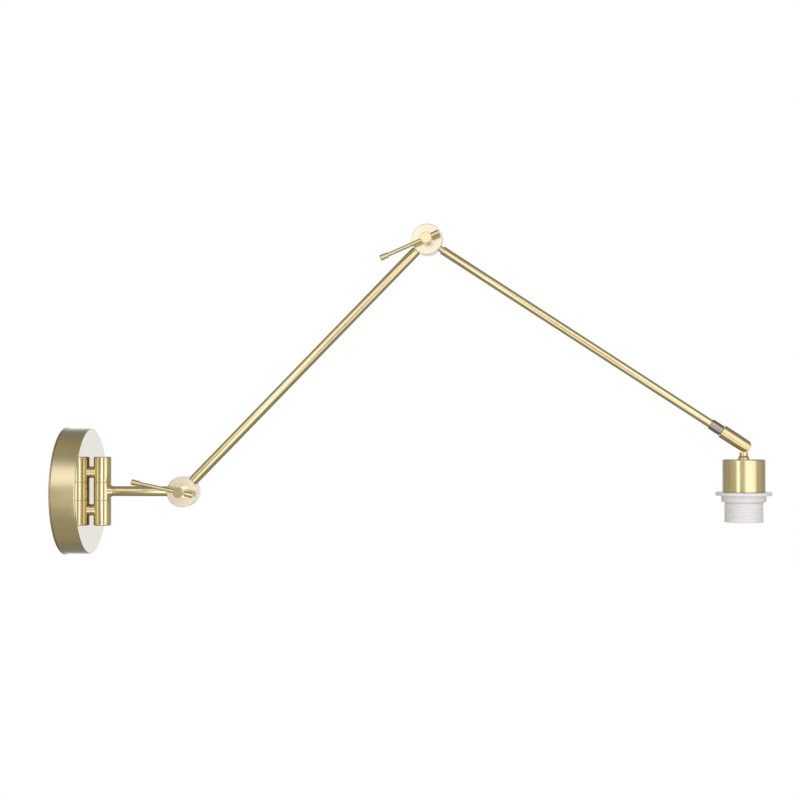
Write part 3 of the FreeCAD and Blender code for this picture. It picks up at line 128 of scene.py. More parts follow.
# ---------------------------------------------------------------- node graphs
class Graph:
    """Adds and joins the nodes of one tree."""

    def __init__(self, tree: Tree) -> None:
        """Start on a shader or geometry tree, which is emptied."""
        self.tree = tree
        tree.nodes.clear()

    def add(self, kind: str, inputs: Optional[dict] = None, **settings: object) -> bpy.types.Node:
        """Add a node.

        Args:
            kind: the node's type name.
            inputs: socket name or number to a constant or to a socket that feeds it.
            settings: attributes of the node itself.

        Returns:
            The new node.
        """
        node = self.tree.nodes.new(kind)
        for name, value in settings.items():
            setattr(node, name, value)
        for key, value in (inputs or {}).items():
            if isinstance(value, Socket):
                self.tree.links.new(value, node.inputs[key])
            else:
                node.inputs[key].default_value = value
        return node

    def math(self, operation: str, *values: object) -> Socket:
        """Add a math node and return its result."""
        return self.add("ShaderNodeMath", dict(enumerate(values)), operation=operation).outputs[0]

    def ramp(self, factor: Socket, stops: Sequence[tuple[float, Colour]]) -> Socket:
        """Add a colour ramp.

        Args:
            factor: what the ramp reads.
            stops: position and colour of each stop, lowest first.

        Returns:
            The colour output.
        """
        node = self.add("ShaderNodeValToRGB", {"Fac": factor})
        elements = node.color_ramp.elements
        for index, (position, colour) in enumerate(stops):
            element = elements[index] if index < 2 else elements.new(position)
            element.position = position
            element.color = (*colour, 1.0)
        return node.outputs["Color"]

    def mix(self, factor: Socket, first: Socket, second: Colour) -> Socket:
        """Blend from one colour to a constant one.

        Args:
            factor: 0 for the first colour, 1 for the second.
            first: the first colour's socket.
            second: the second colour.

        Returns:
            The blended colour.
        """
        node = self.add("ShaderNodeMix", data_type="RGBA")
        sockets = [socket for socket in node.inputs if socket.type == "RGBA"]
        self.tree.links.new(factor, node.inputs["Factor"])
        self.tree.links.new(first, sockets[0])
        sockets[1].default_value = (*second, 1.0)
        return next(socket for socket in node.outputs if socket.type == "RGBA")

    def between(self, factor: Socket, low: float, high: float) -> Socket:
        """Spread a factor of 0.3 to 0.7 over a range.

        Args:
            factor: what is spread.
            low: the result at 0.3.
            high: the result at 0.7.

        Returns:
            The spread value.
        """
        node = self.add(
            "ShaderNodeMapRange",
            {"Value": factor, "From Min": 0.3, "From Max": 0.7, "To Min": low, "To Max": high})
        return node.outputs["Result"]


# ---------------------------------------------------------------- finishes
class Finish:
    """What the surface of a piece looks like; each kind writes its own shader."""

    name: str
    slot: str

    def shade(self, graph: Graph) -> bpy.types.Node:
        """Fill the graph and return the surface's shader node."""
        raise NotImplementedError

    def material(self) -> bpy.types.Material:
        """Make the finish's material, or return it if it is made already.

        Returns:
            The material, shared by all pieces with this finish.
        """
        found = bpy.data.materials.get(self.name)
        if found is not None:
            return found
        made = bpy.data.materials.new(self.name)
        made.use_nodes = True
        graph = Graph(made.node_tree)
        shader = self.shade(graph)
        graph.add("ShaderNodeOutputMaterial", {"Surface": shader.outputs[0]})
        return made


@dataclass(frozen=True)
class MetalFinish(Finish):
    """Bare or plated metal with fine marks and slight uneven tarnish.

    The grain reads the attribute "turning": the piece's own frame in millimetres, +Z along its axis.
    """

    name: str
    slot: str
    colour: Colour
    tarnish: Colour
    roughness: tuple[float, float]
    grain: Grain
    grain_lines: float = 5.0       # per millimetre
    grain_height: float = 0.0004   # millimetres
    waviness: float = 0.004        # millimetres
    grazing: Colour = (0.93, 0.89, 0.83)   # gloss at a low angle, paler as on real brass

    def grain_place(self, graph: Graph) -> Socket:
        """Coordinates whose noise runs the way of the grain.

        Args:
            graph: the material's graph.

        Returns:
            A vector socket in grain lines.
        """
        place = graph.add("ShaderNodeAttribute", attribute_name="turning").outputs["Vector"]
        lines = self.grain_lines
        if self.grain is Grain.TURNED:
            part = graph.add("ShaderNodeSeparateXYZ", {0: place})
            across = graph.math("MULTIPLY", part.outputs["X"], part.outputs["X"])
            out = graph.math("MULTIPLY_ADD", part.outputs["Y"], part.outputs["Y"], across)
            radius = graph.math("SQRT", out)
            rings = graph.math("MULTIPLY", radius, lines)
            height = graph.math("MULTIPLY", part.outputs["Z"], lines)
            return graph.add("ShaderNodeCombineXYZ", {"X": rings, "Y": height}).outputs[0]
        scale = (lines, lines, lines / 60) if self.grain is Grain.LENGTHWISE else (lines,) * 3
        return graph.add("ShaderNodeMapping", {"Vector": place, "Scale": scale}).outputs[0]

    def shade(self, graph: Graph) -> bpy.types.Node:
        """Write the metal's shader.

        Args:
            graph: the material's graph.

        Returns:
            The surface's shader node.
        """
        place = graph.add("ShaderNodeTexCoord").outputs["Object"]
        broad = graph.add(
            "ShaderNodeTexNoise", {"Vector": place, "Scale": 38.0, "Detail": 5.0, "Roughness": 0.62})
        swell = graph.add("ShaderNodeTexNoise", {"Vector": place, "Scale": 90.0, "Detail": 1.0})
        grain = graph.add(
            "ShaderNodeTexNoise",
            {"Vector": self.grain_place(graph), "Scale": 1.0, "Detail": 3.0, "Roughness": 0.6})
        colour = graph.ramp(broad.outputs["Fac"], [(0.34, self.tarnish), (0.56, self.colour)])
        facing_away = graph.add("ShaderNodeLayerWeight", {"Blend": 0.5}).outputs["Facing"]
        edge = graph.add("ShaderNodeMapRange", {"Value": facing_away, "From Min": 0.45, "From Max": 0.78})
        colour = graph.mix(edge.outputs["Result"], colour, self.grazing)
        slow_wear = graph.math("MULTIPLY", broad.outputs["Fac"], 0.65)
        wear = graph.math("MULTIPLY_ADD", grain.outputs["Fac"], 0.35, slow_wear)
        rough = graph.between(wear, *self.roughness)
        wave = graph.add(
            "ShaderNodeBump",
            {"Height": swell.outputs["Fac"], "Strength": 1.0, "Distance": self.waviness * MM})
        marks = graph.add(
            "ShaderNodeBump",
            {"Height": grain.outputs["Fac"], "Strength": 1.0, "Distance": self.grain_height * MM,
             "Normal": wave.outputs["Normal"]})
        return graph.add(
            "ShaderNodeBsdfPrincipled",
            {"Base Color": colour, "Metallic": 1.0, "Roughness": rough, "Normal": marks.outputs["Normal"]})


@dataclass(frozen=True)
class PlasticFinish(Finish):
    """Moulded plastic with a soft sheen and a very slight orange peel."""

    name: str
    slot: str
    colour: Colour
    shade_colour: Colour
    roughness: tuple[float, float]
    peel_height: float = 0.006     # millimetres
    coat: float = 0.25

    def shade(self, graph: Graph) -> bpy.types.Node:
        """Write the plastic's shader.

        Args:
            graph: the material's graph.

        Returns:
            The surface's shader node.
        """
        place = graph.add("ShaderNodeTexCoord").outputs["Object"]
        broad = graph.add("ShaderNodeTexNoise", {"Vector": place, "Scale": 55.0, "Detail": 4.0})
        peel = graph.add("ShaderNodeTexNoise", {"Vector": place, "Scale": 1400.0, "Detail": 2.0})
        colour = graph.ramp(broad.outputs["Fac"], [(0.3, self.shade_colour), (0.6, self.colour)])
        rough = graph.between(broad.outputs["Fac"], *self.roughness)
        bump = graph.add(
            "ShaderNodeBump",
            {"Height": peel.outputs["Fac"], "Strength": 1.0, "Distance": self.peel_height * MM})
        return graph.add(
            "ShaderNodeBsdfPrincipled",
            {"Base Color": colour, "Roughness": rough, "Coat Weight": self.coat, "Coat Roughness": 0.12,
             "Normal": bump.outputs["Normal"]})


BRASS: Colour = (0.86, 0.745, 0.43)
BRASS_TARNISH: Colour = (0.83, 0.71, 0.39)
TURNED_BRASS = MetalFinish(
    "brass_polished_turned", "polished_brass", BRASS, BRASS_TARNISH, (0.15, 0.22), Grain.TURNED)
BRIGHT_BRASS = MetalFinish(
    "brass_polished_bright", "polished_brass", BRASS, BRASS_TARNISH, (0.08, 0.13), Grain.TURNED)
SOFT_BRASS = MetalFinish(
    "brass_polished_soft", "polished_brass", BRASS, BRASS_TARNISH, (0.20, 0.27), Grain.TURNED)
# darker, greener copy of the polished brass: painted shade on the head fork
FORK_SHADE_BRASS = MetalFinish(
    "brass_fork_painted_shade", "polished_brass", (0.76, 0.64, 0.36), (0.71, 0.59, 0.31), (0.16, 0.23),
    Grain.TURNED)
# greyer, less yellow copy of the polished brass for the cover's flat faces: painted reflection of the white
# studio in the plate
PLATE_REFLECTION_BRASS = MetalFinish(
    "brass_plate_painted_reflection", "polished_brass", (0.68, 0.63, 0.50), (0.64, 0.58, 0.45), (0.02, 0.035),
    Grain.TURNED, grain_height=0.00003, waviness=0.0003)
DRAWN_BRASS = MetalFinish(
    "brass_polished_drawn", "polished_brass", BRASS, BRASS_TARNISH, (0.16, 0.23), Grain.LENGTHWISE)
BRUSHED_BRASS = MetalFinish(
    "brass_brushed", "polished_brass", BRASS, BRASS_TARNISH, (0.25, 0.33), Grain.TURNED)
SATIN_BRASS = MetalFinish(
    "brass_satin", "satin_brass", (0.87, 0.80, 0.60), (0.84, 0.76, 0.54), (0.20, 0.27), Grain.TURNED,
    grain_height=0.0003)
# darker copy of the satin brass: painted shade for the base ring's lip, the shadowed gap at the wall
RING_SHADE_BRASS = MetalFinish(
    "brass_ring_painted_shade", "satin_brass", (0.58, 0.48, 0.33), (0.50, 0.40, 0.26), (0.34, 0.44), Grain.TURNED)
RAW_BRASS = MetalFinish(
    "brass_machined", "raw_brass", (0.80, 0.62, 0.33), (0.70, 0.50, 0.24), (0.24, 0.40), Grain.TURNED,
    grain_lines=4.0, grain_height=0.002)
DARK_BRONZE = MetalFinish(
    "bronze_dark", "dark_bronze", (0.42, 0.345, 0.30), (0.35, 0.285, 0.25), (0.14, 0.22), Grain.TURNED,
    grain_height=0.0008)
ZINC_STEEL = MetalFinish(
    "steel_zinc", "zinc_steel", (0.66, 0.67, 0.69), (0.56, 0.57, 0.56), (0.26, 0.44), Grain.PLAIN,
    grain_lines=3.0, grain_height=0.0015)
DARK_STEEL = MetalFinish(
    "steel_blackened", "dark_steel", (0.16, 0.16, 0.165), (0.10, 0.10, 0.10), (0.30, 0.46), Grain.TURNED)
WHITE_PLASTIC = PlasticFinish(
    "plastic_white", "white_plastic", (0.96, 0.95, 0.91), (0.945, 0.935, 0.895), (0.30, 0.42))
WASHER_PLASTIC = PlasticFinish(
    "plastic_natural", "washer_plastic", (0.72, 0.70, 0.62), (0.66, 0.63, 0.55), (0.45, 0.6), coat=0.0)


# ---------------------------------------------------------------- meshes in local frames, millimetres
def rounded_outline(corners: Corners, closed: bool) -> list[Vector]:
    """Round the corners of a turning outline and add the points that keep its flats flat.

    Args:
        corners: (radius, height[, rounding[, step]]) of each corner. step divides the straight that
            leaves the corner.
        closed: whether the last corner joins the first.

    Returns:
        Points (radius, height) along the outline.
    """
    count = len(corners)
    places = [Vector(corner[:2]) for corner in corners]
    roundings = [corner[2] if len(corner) > 2 else 0.0 for corner in corners]
    steps = [corner[3] if len(corner) > 3 else 0.0 for corner in corners]
    tangents, arcs = [], []
    for index, here in enumerate(places):
        at_end = not closed and index in (0, count - 1)
        if roundings[index] == 0 or at_end:
            tangents.append(0.0)
            arcs.append([here])
            continue
        back = (places[index - 1] - here).normalized()
        on = (places[(index + 1) % count] - here).normalized()
        half = back.angle(on) / 2
        tangent = roundings[index] / math.tan(half)
        centre = here + (back + on).normalized() * roundings[index] / math.sin(half)
        first, last = here + back * tangent - centre, here + on * tangent - centre
        sweep = first.angle(last)
        parts = max(4, math.ceil(sweep / math.radians(11)))
        arc = []
        for part in range(parts + 1):
            turn = sweep * part / parts
            arc.append(centre + (first * math.sin(sweep - turn) + last * math.sin(turn)) / math.sin(sweep))
        tangents.append(tangent)
        arcs.append(arc)
    points = []
    for index in range(count):
        points.extend(arcs[index])
        if index == count - 1 and not closed:
            break
        following = (index + 1) % count
        start, stop = arcs[index][-1], arcs[following][0]
        length = (stop - start).length
        marks = []
        support = min(0.2, length / 5)
        if tangents[index] > 0 and length > 0.1:
            marks.append(support)
        if steps[index] > 0:
            parts = max(1, round(length / steps[index]))
            marks.extend(length * part / parts for part in range(1, parts))
        if tangents[following] > 0 and length > 0.1:
            marks.append(length - support)
        points.extend(start + (stop - start) * mark / length for mark in sorted(marks))
    return points


def lathe(corners: Corners, segments: int = 128, closed: bool = False) -> Mesh:
    """Turn an outline round the local Z axis.

    Args:
        corners: the outline, as rounded_outline takes it. An open one begins and ends on the axis.
        segments: divisions round the axis.
        closed: whether the outline is a closed loop clear of the axis.

    Returns:
        A closed mesh.
    """
    shape = bmesh.new()
    rings = []
    turns = [2 * math.pi * part / segments for part in range(segments)]
    for radius, height in rounded_outline(corners, closed):
        if radius < 1e-6:
            rings.append([shape.verts.new((0, 0, height))])
        else:
            circle = [(radius * math.cos(turn), radius * math.sin(turn), height) for turn in turns]
            rings.append([shape.verts.new(place) for place in circle])
    pairs = list(zip(rings, rings[1:]))
    if closed:
        pairs.append((rings[-1], rings[0]))
    for lower, upper in pairs:
        for part in range(segments):
            after = (part + 1) % segments
            if len(lower) == 1:
                shape.faces.new((lower[0], upper[after], upper[part]))
            elif len(upper) == 1:
                shape.faces.new((lower[part], lower[after], upper[0]))
            else:
                shape.faces.new((lower[part], lower[after], upper[after], upper[part]))
    return mesh_from(shape)


def mesh_from(shape: bmesh.types.BMesh) -> Mesh:
    """Turn all faces outward and store the shape as a mesh.

    Args:
        shape: a closed shape, which is freed.

    Returns:
        The new mesh.
    """
    bmesh.ops.recalc_face_normals(shape, faces=shape.faces)
    mesh = bpy.data.meshes.new("part")
    shape.to_mesh(mesh)
    shape.free()
    return mesh


def bar(radius: float, start: float, end: float, segments: int = 96) -> Mesh:
    """Plain round bar along Z, for cutting holes and joining spigots."""
    return lathe([(0, start), (radius, start), (radius, end), (0, end)], segments)


def prism(outline: Sequence[tuple[float, float]], low: float, high: float) -> Mesh:
    """Straight prism over an outline in the local XY plane.

    Args:
        outline: corners in order.
        low: Z of the bottom.
        high: Z of the top.

    Returns:
        A closed mesh.
    """
    shape = bmesh.new()
    bottom = [shape.verts.new((x, y, low)) for x, y in outline]
    top = [shape.verts.new((x, y, high)) for x, y in outline]
    shape.faces.new(bottom)
    shape.faces.new(top)
    for index in range(len(outline)):
        after = (index + 1) % len(outline)
        shape.faces.new((bottom[index], bottom[after], top[after], top[index]))
    return mesh_from(shape)


def block(low: Sequence[float], high: Sequence[float]) -> Mesh:
    """Box between two corners."""
    outline = [(low[0], low[1]), (high[0], low[1]), (high[0], high[1]), (low[0], high[1])]
    return prism(outline, low[2], high[2])


def hexagon(across_flats: float, low: float, high: float) -> Mesh:
    """Six-sided bar along Z.

    Args:
        across_flats: its width across the flats.
        low: Z of the bottom.
        high: Z of the top.

    Returns:
        A closed mesh.
    """
    corner = across_flats / math.sqrt(3)
    turns = [math.radians(60 * side) for side in range(6)]
    return prism([(corner * math.cos(a), corner * math.sin(a)) for a in turns], low, high)


def driver_slot(top: float, reach: float) -> Mesh:
    """Cutter, along Y, for the screwdriver slot in a head that ends at a height."""
    width, depth = 0.8, 1.0
    return block((-width / 2, -reach, top - depth), (width / 2, reach, top + 1))


def facing(origin: Vector, axis: Vector, side: Vector, scale: float = 1.0) -> Matrix:
    """Matrix of a frame.

    Args:
        origin: the frame's origin.
        axis: direction of its Z.
        side: direction of its X, square to axis.
        scale: size of its unit.

    Returns:
        The matrix from the frame to its surroundings.
    """
    third = axis.cross(side)
    turn = Matrix((side, third, axis)).transposed().to_4x4()
    return Matrix.Translation(origin) @ turn @ Matrix.Scale(scale, 4)


def seat(origin: Vector, axis: Vector, side: Vector) -> Matrix:
    """Frame in millimetres at a point of the lamp, given in metres: +Z along axis, +X along side."""
    return facing(origin, axis, side, MM)


def moved(mesh: Mesh, matrix: Matrix) -> Mesh:
    """Move a mesh's vertices and return it."""
    mesh.transform(matrix)
    return mesh


def shifted(mesh: Mesh, x: float, y: float, z: float) -> Mesh:
    """Shift a mesh and return it."""
    return moved(mesh, Matrix.Translation((x, y, z)))


def crosswise(mesh: Mesh, height: float = 0.0) -> Mesh:
    """Turn a mesh made along Z so that it runs along X, at a height."""
    return moved(mesh, facing(Vector((0, 0, height)), X_AXIS, -Z_AXIS))


class Bench:
    """Evaluates modifiers on scratch objects and hands back plain meshes."""

    @staticmethod
    def scratch(mesh: Mesh) -> bpy.types.Object:
        """Put a mesh on a scratch object in the scene.

        Args:
            mesh: the mesh, which the object shares.

        Returns:
            The object.
        """
        made = bpy.data.objects.new("scratch", mesh)
        bpy.context.scene.collection.objects.link(made)
        return made

    @staticmethod
    def result(scratch: bpy.types.Object) -> Mesh:
        """Evaluate a scratch object's modifiers and return the result as a new mesh."""
        graph = bpy.context.evaluated_depsgraph_get()
        return bpy.data.meshes.new_from_object(scratch.evaluated_get(graph))

    @classmethod
    def combine(cls, base: Mesh, operation: Operation, *tools: Mesh) -> Mesh:
        """Cut, join or intersect meshes one after the other.

        Args:
            base: the mesh to work on.
            operation: what the tools do.
            tools: the meshes to do it with.

        Returns:
            The resulting mesh.
        """
        work = cls.scratch(base)
        others = [cls.scratch(tool) for tool in tools]
        for other in others:
            step = work.modifiers.new("step", "BOOLEAN")
            step.operation = operation.value
            step.solver = "EXACT"
            step.object = other
            other.hide_render = True
        made = cls.result(work)
        for used in (work, *others):
            bpy.data.objects.remove(used)
        return made

    @classmethod
    def bevelled(cls, mesh: Mesh, width: float, angle: float = 38.0) -> Mesh:
        """Break the sharp edges of a mesh.

        Args:
            mesh: the mesh to bevel.
            width: width of the bevel.
            angle: the smallest edge angle, in degrees, that counts as sharp.

        Returns:
            The bevelled mesh.
        """
        work = cls.scratch(mesh)
        step = work.modifiers.new("edges", "BEVEL")
        step.width = width
        step.segments = 2
        step.limit_method = "ANGLE"
        step.angle_limit = math.radians(angle)
        step.miter_outer = "MITER_ARC"
        made = cls.result(work)
        bpy.data.objects.remove(work)
        return made

    @classmethod
    def grown(cls, tree: Tree, inputs: dict, mesh: Optional[Mesh] = None) -> Mesh:
        """Evaluate a geometry tree.

        Args:
            tree: the tree.
            inputs: name of each of its inputs to a value.
            mesh: the mesh that it works on, for a tree that takes one.

        Returns:
            The tree's result.
        """
        work = cls.scratch(mesh or bpy.data.meshes.new("empty"))
        step = work.modifiers.new("tree", "NODES")
        step.node_group = tree
        for item in tree.interface.items_tree:
            if item.in_out == "INPUT" and item.name in inputs:
                step[item.identifier] = inputs[item.name]
        made = cls.result(work)
        work.modifiers.remove(step)
        bpy.data.objects.remove(work)
        return made


# ---------------------------------------------------------------- geometry trees
class GeometryTrees:
    """The geometry-node trees for what repeats or follows a rule."""

    def __init__(self) -> None:
        """Build each tree once."""
        self.tube = self.make_tube()
        self.thread = self.make_thread()
        self.around = self.make_copies(Pattern.AROUND)
        self.grid = self.make_copies(Pattern.GRID)

    @staticmethod
    def start(name: str, inputs: Sequence[tuple[str, str]]) -> tuple[Graph, bpy.types.Node]:
        """Make a tree with named inputs.

        Args:
            name: the tree's name.
            inputs: name and socket type of each input.

        Returns:
            The graph and its group input node.
        """
        tree = bpy.data.node_groups.new(name, "GeometryNodeTree")
        for label, kind in inputs:
            tree.interface.new_socket(label, in_out="INPUT", socket_type=kind)
        tree.interface.new_socket("Geometry", in_out="OUTPUT", socket_type="NodeSocketGeometry")
        graph = Graph(tree)
        return graph, graph.add("NodeGroupInput")

    @staticmethod
    def end(graph: Graph, geometry: Socket, material: Socket) -> Tree:
        """Realize the instances, set the material and close the tree.

        Args:
            graph: the tree's graph.
            geometry: what the tree has made.
            material: its material.

        Returns:
            The tree.
        """
        real = graph.add("GeometryNodeRealizeInstances", {"Geometry": geometry})
        dressed = graph.add("GeometryNodeSetMaterial", {"Geometry": real.outputs[0], "Material": material})
        graph.add("NodeGroupOutput", {"Geometry": dressed.outputs[0]})
        return graph.tree

    def make_tube(self) -> Tree:
        """Tree for a tube: its wall's section, with rounded edges, is swept round the axis.

        Returns:
            The tree. Its tube stands on the local XY plane, along +Z.
        """
        graph, given = self.start("tube", [
            ("Radius", "NodeSocketFloat"), ("Wall", "NodeSocketFloat"), ("Length", "NodeSocketFloat"),
            ("Edge", "NodeSocketFloat"), ("Segments", "NodeSocketInt"), ("Material", "NodeSocketMaterial")])
        value = given.outputs
        half_wall = graph.math("MULTIPLY", value["Wall"], 0.5)
        path = graph.add(
            "GeometryNodeCurvePrimitiveCircle",
            {"Resolution": value["Segments"], "Radius": graph.math("SUBTRACT", value["Radius"], half_wall)})
        section = graph.add(
            "GeometryNodeCurvePrimitiveQuadrilateral", {"Width": value["Wall"], "Height": value["Length"]})
        edges = graph.add(
            "GeometryNodeFilletCurve", {"Curve": section.outputs[0], "Radius": value["Edge"]})
        edges.mode = "POLY"
        edges.inputs["Count"].default_value = 4
        swept = graph.add(
            "GeometryNodeCurveToMesh", {"Curve": path.outputs[0], "Profile Curve": edges.outputs[0]})
        lift = graph.add("ShaderNodeCombineXYZ", {"Z": graph.math("MULTIPLY", value["Length"], 0.5)})
        stood = graph.add(
            "GeometryNodeSetPosition", {"Geometry": swept.outputs[0], "Offset": lift.outputs[0]})
        return self.end(graph, stood.outputs[0], value["Material"])

    def make_thread(self) -> Tree:
        """Tree that sinks a helical thread into the turned faces beyond a radius.

        Returns:
            The tree. The thread runs between two heights and fades out over the run-out.
        """
        graph, given = self.start("thread", [
            ("Geometry", "NodeSocketGeometry"), ("Floor", "NodeSocketFloat"), ("Depth", "NodeSocketFloat"),
            ("Pitch", "NodeSocketFloat"), ("Start", "NodeSocketFloat"), ("End", "NodeSocketFloat"),
            ("Run-out", "NodeSocketFloat"), ("Material", "NodeSocketMaterial")])
        value = given.outputs
        part = graph.add("ShaderNodeSeparateXYZ", {0: graph.add("GeometryNodeInputPosition").outputs[0]})
        x, y, z = part.outputs
        radius = graph.math("SQRT", graph.math("MULTIPLY_ADD", x, x, graph.math("MULTIPLY", y, y)))
        turn = graph.math("DIVIDE", graph.math("ARCTAN2", y, x), 2 * math.pi)
        along = graph.math("SUBTRACT", graph.math("DIVIDE", z, value["Pitch"]), turn)
        phase = graph.math("ABSOLUTE", graph.math("SUBTRACT", graph.math("FRACT", along), 0.5))
        sink = graph.add(
            "ShaderNodeMapRange", {"Value": phase, "From Min": 0.12, "From Max": 0.40},
            interpolation_type="SMOOTHSTEP")
        first = graph.math("DIVIDE", graph.math("SUBTRACT", z, value["Start"]), value["Run-out"])
        last = graph.math("DIVIDE", graph.math("SUBTRACT", value["End"], z), value["Run-out"])
        fade = graph.add("ShaderNodeClamp", {"Value": graph.math("MINIMUM", first, last)})
        outside = graph.math("GREATER_THAN", radius, value["Floor"])
        deep = graph.math("MULTIPLY", graph.math("MULTIPLY", sink.outputs[0], fade.outputs[0]), outside)
        inward = graph.math("DIVIDE", graph.math("MULTIPLY", deep, value["Depth"]), radius)
        shrink = graph.math("SUBTRACT", 0.0, inward)
        flat = graph.add("ShaderNodeCombineXYZ", {
            "X": graph.math("MULTIPLY", x, shrink), "Y": graph.math("MULTIPLY", y, shrink)})
        cut = graph.add("GeometryNodeSetPosition", {
            "Geometry": value["Geometry"], "Selection": outside, "Offset": flat.outputs[0]})
        return self.end(graph, cut.outputs[0], value["Material"])

    def make_copies(self, pattern: Pattern) -> Tree:
        """Tree that sets out copies of one small piece.

        Args:
            pattern: round an axis through the origin, or on a level grid about the origin.

        Returns:
            The tree.
        """
        if pattern is Pattern.AROUND:
            graph, given = self.start("copies_around", [
                ("Piece", "NodeSocketObject"), ("Count", "NodeSocketInt"), ("Axis", "NodeSocketVector"),
                ("Step", "NodeSocketFloat"), ("Material", "NodeSocketMaterial")])
            points = graph.add("GeometryNodePoints", {"Count": given.outputs["Count"]}).outputs[0]
            number = graph.add("GeometryNodeInputIndex").outputs[0]
            angle = graph.math("MULTIPLY", number, given.outputs["Step"])
            turn = graph.add("FunctionNodeAxisAngleToRotation", {
                "Axis": given.outputs["Axis"], "Angle": angle})
            placing = {"Points": points, "Rotation": turn.outputs[0]}
        else:
            graph, given = self.start("copies_grid", [
                ("Piece", "NodeSocketObject"), ("Rows", "NodeSocketInt"), ("Columns", "NodeSocketInt"),
                ("Row Pitch", "NodeSocketFloat"), ("Column Pitch", "NodeSocketFloat"),
                ("Material", "NodeSocketMaterial")])
            sizes = {}
            for socket, count, pitch in (("X", "Rows", "Row Pitch"), ("Y", "Columns", "Column Pitch")):
                gaps = graph.math("SUBTRACT", given.outputs[count], 1.0)
                sizes["Size " + socket] = graph.math("MULTIPLY", gaps, given.outputs[pitch])
                sizes["Vertices " + socket] = given.outputs[count]
            placing = {"Points": graph.add("GeometryNodeMeshGrid", sizes).outputs[0]}
        piece = graph.add("GeometryNodeObjectInfo", {"Object": given.outputs["Piece"], "As Instance": True})
        copies = graph.add(
            "GeometryNodeInstanceOnPoints", {**placing, "Instance": piece.outputs["Geometry"]})
        return self.end(graph, copies.outputs[0], given.outputs["Material"])


